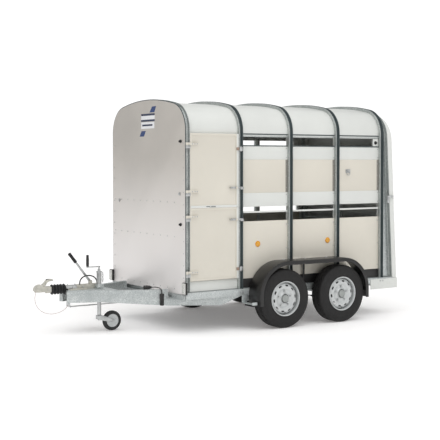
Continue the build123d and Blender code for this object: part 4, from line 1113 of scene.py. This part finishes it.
@dataclass
class Jockey(Group):
    """The jockey wheel: tube, screw, crank, fork and castor."""

    x: float = 75.0
    y: float = -620.0
    hub: tuple = (-480.0, 100.0)
    wide: float = 0.05
    links: int = 5

    def tyre(self) -> None:
        """The castor's solid tyre, its two-part hub and the nuts of its axle."""
        centre = self.at(self.x - 25, *self.hub)
        section = [(0.006, 0.064), (0.0008, 0.068), (0.0, 0.076), (0.002, 0.088)]
        section += [(0.008, 0.0965), (0.016, 0.0995)]
        section += mirrored(section, self.wide)
        tyre = lathe("castor_tyre", centre, (1, 0, 0), [*section, section[0]], 64, 45)
        fit(tyre, "jockey_wheel", JOCKEY_TYRE)
        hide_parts("jockey_wheel")
        hub = [(-0.002, 0.0081), (-0.002, 0.019), (0.003, 0.021), (0.004, 0.034), (0.009, 0.040)]
        hub += [(0.009, 0.054), (0.004, 0.060), (0.004, 0.0655), (0.007, 0.0665)]
        hub += [(0.025, 0.0645), *mirrored(hub, self.wide), hub[0]]
        fit(lathe("castor_hub", centre, (1, 0, 0), hub, 64, 35), "jockey_wheel", WHEEL_SILVER)
        nuts = []
        for low, high in ((-40, -34.5), (34.5, 40)):
            ends = (self.at(self.x + low, *self.hub), self.at(self.x + high, *self.hub))
            nuts.append(rod("nut", *ends, 0.0125, 0.0015, 6))
        fit(joined(nuts, "castor_nuts"), "jockey_fork", ZINC)

    def tube(self) -> None:
        """The outer tube with its cap, the inner tube and the fork."""
        fit(refined("jockey_tube", 0.001), "jockey_tube", ZINC)
        fit(refined("jockey_inner", 0.001), "jockey_inner", ZINC)
        fit(refined("jockey_fork", 0.0015), "jockey_fork", ZINC)
        collar = [(0, 0.0201), (0, 0.0262), (0.002, 0.0275), (0.012, 0.0275), (0.014, 0.0262)]
        collar += [(0.014, 0.0243), (0.014, 0.0241), (0.0139, 0.0201), (0, 0.0201)]
        cap = lathe("tube_cap", self.at(self.x, self.y, 592.5), (0, 0, 1), collar, 40, 35)
        fit(cap, "jockey_tube", ZINC)

    def chain(self) -> None:
        """The short chain of the locking pin, its links turned by turns."""
        x, y = self.x + 6, self.y + 38
        chain = []
        for number in range(self.links):
            wide = number % 2 == 0
            bpy.ops.object.select_all(action="DESELECT")
            bpy.ops.mesh.primitive_torus_add(
                major_radius=0.0085, minor_radius=0.0021, major_segments=20, minor_segments=8,
                rotation=(math.pi / 2, 0, 0) if wide else (0, math.pi / 2, 0),
                location=self.at(x, y, 582 - number * 19),
            )
            link = named("link")
            link.scale = (1.0, 1.45, 1.0) if wide else (1.45, 1.0, 1.0)
            settle(link)
            bpy.ops.object.shade_smooth()
            chain.append(link)
        chain.append(rod("eye", self.at(x, y - 16, 594), self.at(x, y + 8, 594), 0.003, 0.001, 12))
        fit(joined(chain, "pin_chain"), "jockey_tube", ZINC)

    def crank(self) -> None:
        """The crank, with its turned grip."""
        fit(refined("jockey_crank", 0.001), "jockey_crank", ZINC)
        section = [(0, 0), (0, 0.0118), (0.004, 0.0138), (0.03, 0.0148), (0.07, 0.0145)]
        section += [(0.1, 0.0132), (0.1135, 0.0125), (0.117, 0.0105), (0.118, 0.0)]
        grip = lathe("crank_grip", self.at(self.x, self.y - 126, 657), (0, 0, 1), section, 32, 45)
        fit(grip, "jockey_crank", BLACK_PLASTIC)

    def build(self) -> None:
        """Builds the jockey wheel."""
        self.tyre()
        self.tube()
        self.chain()
        self.crank()


# ---- Body ------------------------------------------------------------------------------------

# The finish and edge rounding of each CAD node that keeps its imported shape.
FIXED = {
    "drawbar_rails": (GALVANISED, 0.004),
    "coupling_plate": (GALVANISED, 0.0015),
    "side_members": (GALVANISED, 0.0012),
    "cross_members": (GALVANISED, 0.0012),
    "floor_deck": (TREAD, 0.001),
    "rear_sill": (WHITE, 0.0015),
    "rear_frame": (HOOP_ZINC, 0.0012),
    "quarter_panels": (GALVANISED, 0.0006),
    "front_panel": (FRONT_SHEET, 0.0008),
    "left_panels": (CREAM, 0.0015),
    "right_panels": (CREAM, 0.0015),
    "left_planks": (WHITE, 0.0015),
    "right_planks": (WHITE, 0.0015),
    "guard_stays": (BLACK_STEEL, 0.0008),
    "axle_beams": (GALVANISED, 0.002),
    "leaf_springs": (BLACK_STEEL, 0.001),
    "spring_hangers": (GALVANISED, 0.001),
    "brake_gear": (ZINC, 0.001),
    "body_fittings": (ZINC, 0.0008),
    "mudguard_left": (BLACK_PLASTIC, 0.0012),
    "mudguard_right": (BLACK_PLASTIC, 0.0012),
    **{f"hoop_{number}": (HOOP_ZINC, 0.0012) for number in range(1, HOOPS + 1)},
    "roof_sheet": (WHITE, 0.0008),
}
# The same for the nodes that are bodies of their own.
MOVING = {
    "upper_door": (CREAM, 0.0012),
    "lower_door": (CREAM, 0.0012),
    "upper_latch": (ZINC, 0.001),
    "lower_latch": (ZINC, 0.001),
    "ramp": (WHITE, 0.002),
    "ramp_latch_left": (ZINC, 0.001),
    "ramp_latch_right": (ZINC, 0.001),
    "left_gate": (GALVANISED, 0.001),
    "right_gate": (GALVANISED, 0.001),
    "tie_ring": (ZINC, 0.0006),
}


@dataclass
class Bodywork(Group):
    """The body and chassis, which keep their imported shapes, and the small pieces on them."""

    reflectors: tuple = (855.0, 1772.0)
    reflector_level: float = 858.0
    buffers: tuple = (1900, 1083)
    hinges: tuple = (("upper_door", 1830, (1860, 1393)), ("lower_door", 620, (1145, 597)))
    inset: float = 24.6  # from a hoop's middle to where the boards' trim starts
    sheet: float = -27.4  # the front sheet's outer face
    sill_end: float = 2683.3  # the rear sill's outer face

    def dome(self) -> Item:
        """One button-head rivet, its axis along X."""
        section = [(0, 0.0), (0, 0.0062), (0.0008, 0.0064), (0.0022, 0.0052), (0.003, 0.003)]
        return lathe("rivet", (0, 0, 0), (1, 0, 0), [*section, (0.0033, 0.0)], 14, 60)

    def emptied(self) -> list:
        """Boxes round the CAD's plain buffers and reflectors, where finer pieces stand."""
        pairs = [(self.at(671, -50.5, z - 12), self.at(695, -27.0, z + 12)) for z in self.buffers]
        low, high = self.reflector_level - 36, self.reflector_level + 36
        for side in Side:
            for y in self.reflectors:
                pair = (self.at(739.6, y - 36, low, side), self.at(752, y + 36, high, side))
                pairs.append(pair)
        return [(tuple(map(min, *pair)), tuple(map(max, *pair))) for pair in pairs]

    def shapes(self) -> None:
        """The fixed shapes, then the moving ones."""
        for node, (finish, edge) in FIXED.items():
            less = self.emptied() if node == "body_fittings" else None
            fit(refined(node, edge, less=less), "trailer", finish)
        for node, (finish, edge) in MOVING.items():
            fit(refined(node, edge), node, finish)

    def channels(self) -> None:
        """Painted shade in each hoop's channel: a dark strip at the front of the first, behind the
        others.
        """
        for number in range(1, HOOPS + 1):
            item = twin(bpy.data.objects[f"hoop_{number}_made"], f"hoop_{number}_channel")
            # The hoop's end, fattened a little and given the dark finish, is painted shade in its
            # channel.
            way, shift = (-1, -4) if number == 1 else (1, 5)
            cut = self.at(0, (number - 1) * BAY + shift, 0)
            with editing(item):
                bpy.ops.mesh.bisect(plane_co=cut, plane_no=(0, way, 0), clear_inner=True)
                bpy.ops.mesh.select_all(action="SELECT")
                bpy.ops.transform.shrink_fatten(value=0.0007)
            fit(item, "trailer", CHANNEL_SHADE)

    def strips(self) -> None:
        """The boards' rear edges, the upper vent's rails and dark strips, and its block and knob.
        """
        for side in Side:
            rails: dict = {"board_edges": [], "vent_rails": [], "vent_seals": []}
            for bay in range(side.first_bay, HOOPS - 1):
                start, end = bay * BAY + self.inset, (bay + 1) * BAY - self.inset
                # The vent's dark strips take the painted-shade finish; the top one is painted shade
                # under the roof's edge.
                rows = (
                    ("board_edges", end - 25, 1384, 1721), ("vent_rails", start, 1953, 1966),
                    ("vent_seals", start, 1975, 1987), ("vent_seals", start, 1858.3, 1869),
                )
                for name, front, low, high in rows:
                    bar = self.block("bar", (737, front, low), (742, end, high), 0.0008, side)
                    rails[name].append(bar)
            corners = ((712, 2418, 1869.5), (738.5, 2494, 1952))
            block = self.block(f"vent_block_{side.word}", *corners, 0.003, side)
            fit(block, "trailer", WHITE)
            section = [(0, 0), (0, 0.019), (0.003, 0.0195), (0.004, 0.0135), (0.014, 0.0145)]
            section += [(0.019, 0.0115), (0.0195, 0)]
            start_at, way = self.at(738.6, 2452, 1908, side), (side.value, 0, 0)
            knob = lathe(f"vent_knob_{side.word}", start_at, way, section, 28, 40)
            fit(knob, "trailer", BLACK_PLASTIC)
            for (name, bars), finish in zip(rails.items(), (EDGE_STRIP, HOOP_ZINC, CHANNEL_SHADE)):
                fit(joined(bars, f"{name}_{side.word}"), "trailer", finish)

    def rivets(self) -> None:
        """Rivets through the boards into each hoop, on both sides."""
        levels = (1262, 1360, 1744, 1838, 560, 800, 1050, 1430, 1550, 1675, 1970)
        for side in Side:
            places = []
            for bay in range(side.first_bay, HOOPS - 1):
                for y in (bay * BAY + 38, bay * BAY + 592):
                    places += [self.at(739.4, y, z, side) for z in levels]
            model = self.dome()
            if side is Side.RIGHT:
                turned(model, math.pi)
            fit(copies(model, places, f"board_rivets_{side.word}"), "trailer", ZINC)

    def sheet_fixings(self) -> None:
        """Rivets, lugs and the doors' rubber buffers on the front sheet."""
        places = []
        for x in (-700, *range(-560, 561, 140)):
            places += [self.at(x, -27.2, z) for z in (1297, 957, 440)]
        for z in range(560, 2000, 120):
            places += [self.at(x, -27.2, z) for x in (-722, 735)]
        model = turned(self.dome(), -math.pi / 2)
        fit(copies(model, places, "front_rivets"), "trailer", ZINC)
        lugs = [
            self.block("lug", (-618, self.sheet, 1270), (-600, -38, 1302), 0.002),
            self.block("lug", (640, self.sheet, 1374), (676, -33, 1396), 0.002),
            self.block("lug", (664, self.sheet, 1369), (676, -38, 1401), 0.003),
        ]
        fit(joined(lugs, "front_lugs"), "trailer", ZINC)
        section = [(0, 0), (0, 0.0165), (0.004, 0.0168), (0.009, 0.0135), (0.0208, 0.0098)]
        section += [(0.0216, 0.0085), (0.0216, 0)]
        pads = []
        for z in self.buffers:
            pads.append(lathe("pad", self.at(683, -27.5, z), (0, -1, 0), section, 28, 40))
        fit(joined(pads, "door_buffers"), "trailer", SOFT_RUBBER)

    def decal(self) -> None:
        """Plain blue and white bars high on the front sheet, with no lettering."""
        lower, upper = -27.35, -27.7
        rows = (
            ("decal_labels", DECAL_WHITE, lower, (
                [(-118, 2197), (167, 2197), (167, 2116), (-118, 2116)],
                [(-118, 2110), (160, 2110), (160, 2043), (-118, 2043)],
            )),
            ("decal_stripes", DECAL_NAVY, upper, (
                [(-118, 2197), (167, 2197), (167, 2176), (-118, 2176)],
                [(-118, 2136), (167, 2136), (167, 2116), (-118, 2116)],
                [(-95, 2087), (121, 2087), (121, 2069), (-95, 2069)],
            )),
            ("decal_slants", DECAL_BLUE, lower, (
                [(111, 2266), (198, 2269), (161, 2207), (59, 2207)],
                [(-112, 2020), (-19, 2020), (-59, 1963), (-152, 1963)],
            )),
        )
        for name, finish, y, bars in rows:
            made = []
            for bar in bars:
                corners = [self.at(x, y, z) for x, z in bar]
                made.append(plate("bar", corners, (0, -0.0003, 0), 0.0001, 1))
            fit(joined(made, name), "trailer", finish)

    def hoop_feet(self) -> None:
        """Feet where each hoop stands on its sill, with two bolts through each."""
        rows = {side: [BAY * bay for bay in range(side.first_bay, HOOPS)] for side in Side}
        for side, row in rows.items():
            feet = []
            for y in row:
                low, high = (765.4, y - 30, 352), (769.4, y + 30, 404)
                feet.append(self.block("foot", low, high, 0.001, side))
            fit(joined(feet, f"hoop_feet_{side.word}"), "trailer", GALVANISED)
        for side, row in rows.items():
            model = hexagon(0.0095, 0.007, 0.0012, math.pi / 2, 0.0035)
            if side is Side.RIGHT:
                turned(model, math.pi)
            places = [self.at(769.4, y + d, 378, side) for y in row for d in (-18, 18)]
            fit(copies(model, places, f"foot_bolts_{side.word}"), "trailer", ZINC)

    def lights(self) -> None:
        """Marker lamps on the front, tail lamps on the rear sill, and the side reflectors."""
        y = self.sill_end
        lamps = {
            "marker_base": ((741, -28, 399), (811, -51, 519), 0.006, BLACK_PLASTIC),
            "marker_lens": ((746, -45, 404), (806, -61, 514), 0.009, CLEAR_LENS),
            "tail_base": ((562, y, 291), (738, y + 10, 335), 0.004, BLACK_PLASTIC),
            "tail_red": ((566, y + 8, 295), (662, y + 28, 331), 0.006, RED_LENS),
            "tail_amber": ((664, y + 8, 295), (734, y + 28, 331), 0.006, AMBER_LENS),
        }
        rim = [(0, 0.0), (0, 0.031), (0.004, 0.031), (0.0055, 0.0298), (0.0055, 0.0285)]
        rim += [(0.004, 0.028), (0.004, 0.0)]
        lens = [(0.003, 0.0), (0.003, 0.0283), (0.007, 0.028), (0.0085, 0.0262), (0.0095, 0.014)]
        lens += [(0.0098, 0.0)]
        for side in Side:
            for name, (low, high, edge, finish) in lamps.items():
                lamp = self.block(f"{name}_{side.word}", low, high, edge, side)
                fit(lamp, "trailer", finish)
            for index, place in enumerate(self.reflectors):
                start, way = self.at(739.9, place, self.reflector_level, side), (side.value, 0, 0)
                for name, section, smooth in (("rim", rim, 35), ("lens", lens, 45)):
                    full = f"reflector_{name}_{side.word}_{index}"
                    fit(lathe(full, start, way, section, 40, smooth), "trailer", AMBER_LENS)
        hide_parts("lamps")

    def plugs(self) -> None:
        """The parked plug and the cable's socket on the left rail."""
        along = Vector((0.386070, 0.922469, 0))
        out = Vector((0.922469, -0.386070, 0))
        section = [(0, 0), (0, 0.017), (0.004, 0.0195), (0.03, 0.0195), (0.032, 0.0218)]
        section += [(0.038, 0.0218), (0.04, 0.0195), (0.058, 0.0185), (0.066, 0.015)]
        section += [(0.074, 0.0105), (0.084, 0.0085), (0.084, 0)]
        start = Vector(self.at(376.7, -230, 447.3)) - along * 0.044
        plug = fit(lathe("parked_plug", start, along, section, 36, 40), "trailer", BLACK_PLASTIC)
        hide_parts("plugs")
        case = [(0, 0), (0, 0.019), (0.003, 0.0215), (0.012, 0.0218), (0.014, 0.0205)]
        case += [(0.1, 0.0205), (0.103, 0.0218), (0.112, 0.0218), (0.117, 0.016)]
        case += [(0.12, 0.009), (0.12, 0)]
        foot = Vector(self.at(429.02, -105, 268)) + out * 0.0443
        fit(lathe("cable_socket", foot, (0, 0, 1), case, 36, 40), "trailer", BLACK_PLASTIC)

    def door_trim(self) -> None:
        """Hinge bolts, rear edges, catches and keeps, and the strip over the doors' split."""
        for door, z, levels in self.hinges:
            heads = [self.at(776.9, y, level + 15) for level in levels for y in (50, 78, 104)]
            fit(copies(self.dome(), heads, f"{door}_bolts"), door, ZINC)
            low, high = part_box(door)
            near = (0.7672, self.layout.front + 0.578, low.z)
            far = (0.7695, self.layout.front + 0.601, high.z)
            fit(brick(f"{door}_edge", near, far), door, WHITE)
            catch = self.block(f"{door}_catch", (769.7, 572, z - 15), (781, 600, z + 15), 0.003)
            fit(catch, door, CATCH_BROWN)
            ends = (self.at(777, 623, z - 27), self.at(777, 623, z + 27))
            keep = [
                self.block("keep", (770.4, 604.5, z - 21), (783, 642, z + 21), 0.003),
                rod("pin", *ends, 0.0045, 0.001, 14),
            ]
            fit(joined(keep, f"{door}_keep"), "trailer", ZINC)
        strip = self.block("door_cover_strip", (767.3, 32, 1246.8), (770.6, 577, 1268))
        fit(strip, "upper_door", WHITE)
        # Painted shade: dark bars stand for the shade in the strip's slots.
        slots = []
        for front, rear in ((213, 259), (268, 324)):
            slots.append(self.block("slot", (770.2, front, 1253), (771.4, rear, 1260), 0.0004))
        fit(joined(slots, "door_cover_slots"), "upper_door", CHANNEL_SHADE)

    def guard_fixings(self) -> None:
        """The bolts on top of the mudguards, and the step bracket at each front foot."""
        bars = (
            ((766, 640, 268), (955, 700, 274)),
            ((950, 640, 262), (956, 700, 292)),
            ((766, 640, 268), (772, 700, 344)),
        )
        head = [(0, 0.0), (0, 0.013), (0.0018, 0.0125), (0.0022, 0.0075), (0.0055, 0.0065)]
        head += [(0.0065, 0.0)]
        for side in Side:
            arm = [self.block("arm", low, high, 0.0015, side) for low, high in bars]
            fit(joined(arm, f"step_bracket_{side.word}"), "trailer", GALVANISED)
            corners = ((800, 652, 246), (950, 700, 267.5))
            rubber = self.block(f"step_rubber_{side.word}", *corners, 0.004, side)
            fit(rubber, "trailer", SOFT_RUBBER)
            places = [self.at(790, y, 685, side) for y in (1150, 1430, 1710)]
            model = lathe("fixing", (0, 0, 0), (0, 0, 1), head, 20, 35)
            fit(copies(model, places, f"guard_bolts_{side.word}"), "trailer", ZINC)

    def build(self) -> None:
        """Builds the body."""
        self.shapes()
        self.channels()
        self.strips()
        self.rivets()
        self.sheet_fixings()
        self.decal()
        self.hoop_feet()
        self.lights()
        self.plugs()
        self.door_trim()
        self.guard_fixings()


# ---- Studio ----------------------------------------------------------------------------------


@dataclass
class Studio:
    """A pale floor, soft lights and the camera."""

    camera_at: tuple = (9.380, -5.988, 1.691)
    camera_turn: tuple = (88.23, 0.04, 56.69)
    lens: float = 84.52
    shift: tuple = (-0.0062, -0.0578)
    low_light: float = 0.44
    high_light: float = 0.7
    behind: float = 1.1  # pure white behind the trailer
    glow: float = 0.15

    def floor(self) -> None:
        """A pale matt floor."""
        deselect()
        bpy.ops.mesh.primitive_plane_add(size=160, location=(0, 0, 0))
        plane = named("studio_floor")
        graph = Graph("studio_floor")
        tone = graph.spread(graph.noise(0.6, 3.0), 0.94, 0.96)
        graph.wire(Base_Color=tone)
        graph.uniform(
            Roughness=0.9, Emission_Color=linear("#FFFAF8"), Emission_Strength=self.glow
        )
        plane.data.materials.append(graph.material)

    def camera(self) -> None:
        """The camera, framed as the trailer is seen."""
        data = bpy.data.cameras.new("camera")
        data.lens = self.lens
        data.sensor_width = 36
        data.shift_x, data.shift_y = self.shift
        item = bpy.data.objects.new("camera", data)
        bpy.context.collection.objects.link(item)
        item.location = self.camera_at
        item.rotation_euler = [math.radians(a) for a in self.camera_turn]
        bpy.context.scene.camera = item

    def sun(self, name: str, way: tuple, strength: float, spread: float) -> None:
        """One broad soft light from far off.

        Args:
            name: The light's name.
            way: Where it stands, seen from the trailer.
            strength: Its strength.
            spread: How wide it looks, in degrees.
        """
        data = bpy.data.lights.new(name, "SUN")
        data.energy = strength
        data.angle = math.radians(spread)
        item = bpy.data.objects.new(name, data)
        bpy.context.collection.objects.link(item)
        item.rotation_mode = "QUATERNION"
        item.rotation_quaternion = Vector(way).to_track_quat("Z", "Y")

    def world(self) -> None:
        """White all round, a little darker low down for the metal to reflect."""
        world = bpy.data.worlds.new("studio")
        bpy.context.scene.world = world
        world.use_nodes = True
        tree = world.node_tree
        back = tree.nodes["Background"]
        back.inputs["Color"].default_value = (1.0, 1.0, 1.0, 1.0)
        where = tree.nodes.new("ShaderNodeTexCoord")
        split = tree.nodes.new("ShaderNodeSeparateXYZ")
        tree.links.new(where.outputs["Generated"], split.inputs[0])
        ramp = tree.nodes.new("ShaderNodeMapRange")
        ends = {"From Min": -0.1, "From Max": 0.9}
        for key, value in {**ends, "To Min": self.low_light, "To Max": self.high_light}.items():
            ramp.inputs[key].default_value = value
        tree.links.new(split.outputs[2], ramp.inputs["Value"])
        path = tree.nodes.new("ShaderNodeLightPath")
        choice = tree.nodes.new("ShaderNodeMix")
        tree.links.new(path.outputs["Is Camera Ray"], choice.inputs[0])
        tree.links.new(ramp.outputs["Result"], choice.inputs[2])
        choice.inputs[3].default_value = self.behind
        tree.links.new(choice.outputs[0], back.inputs["Strength"])

    def build(self) -> None:
        """Builds the studio."""
        self.floor()
        self.camera()
        self.world()
        self.sun("key", (0.35, -0.25, 1.0), 1.2, 70)
        self.sun("side", (1.0, 0.35, 0.45), 0.3, 60)
        bpy.context.scene.view_settings.view_transform = "Standard"


def main() -> None:
    """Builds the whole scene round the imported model."""
    logging.basicConfig(level=logging.INFO, format="%(message)s")
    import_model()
    layout = Layout()
    Studio().build()
    Cords(layout).build()
    Wheel().build()
    Coupling(layout).build()
    Jockey(layout).build()
    Bodywork(layout).build()


if __name__ == "__main__":
    main()
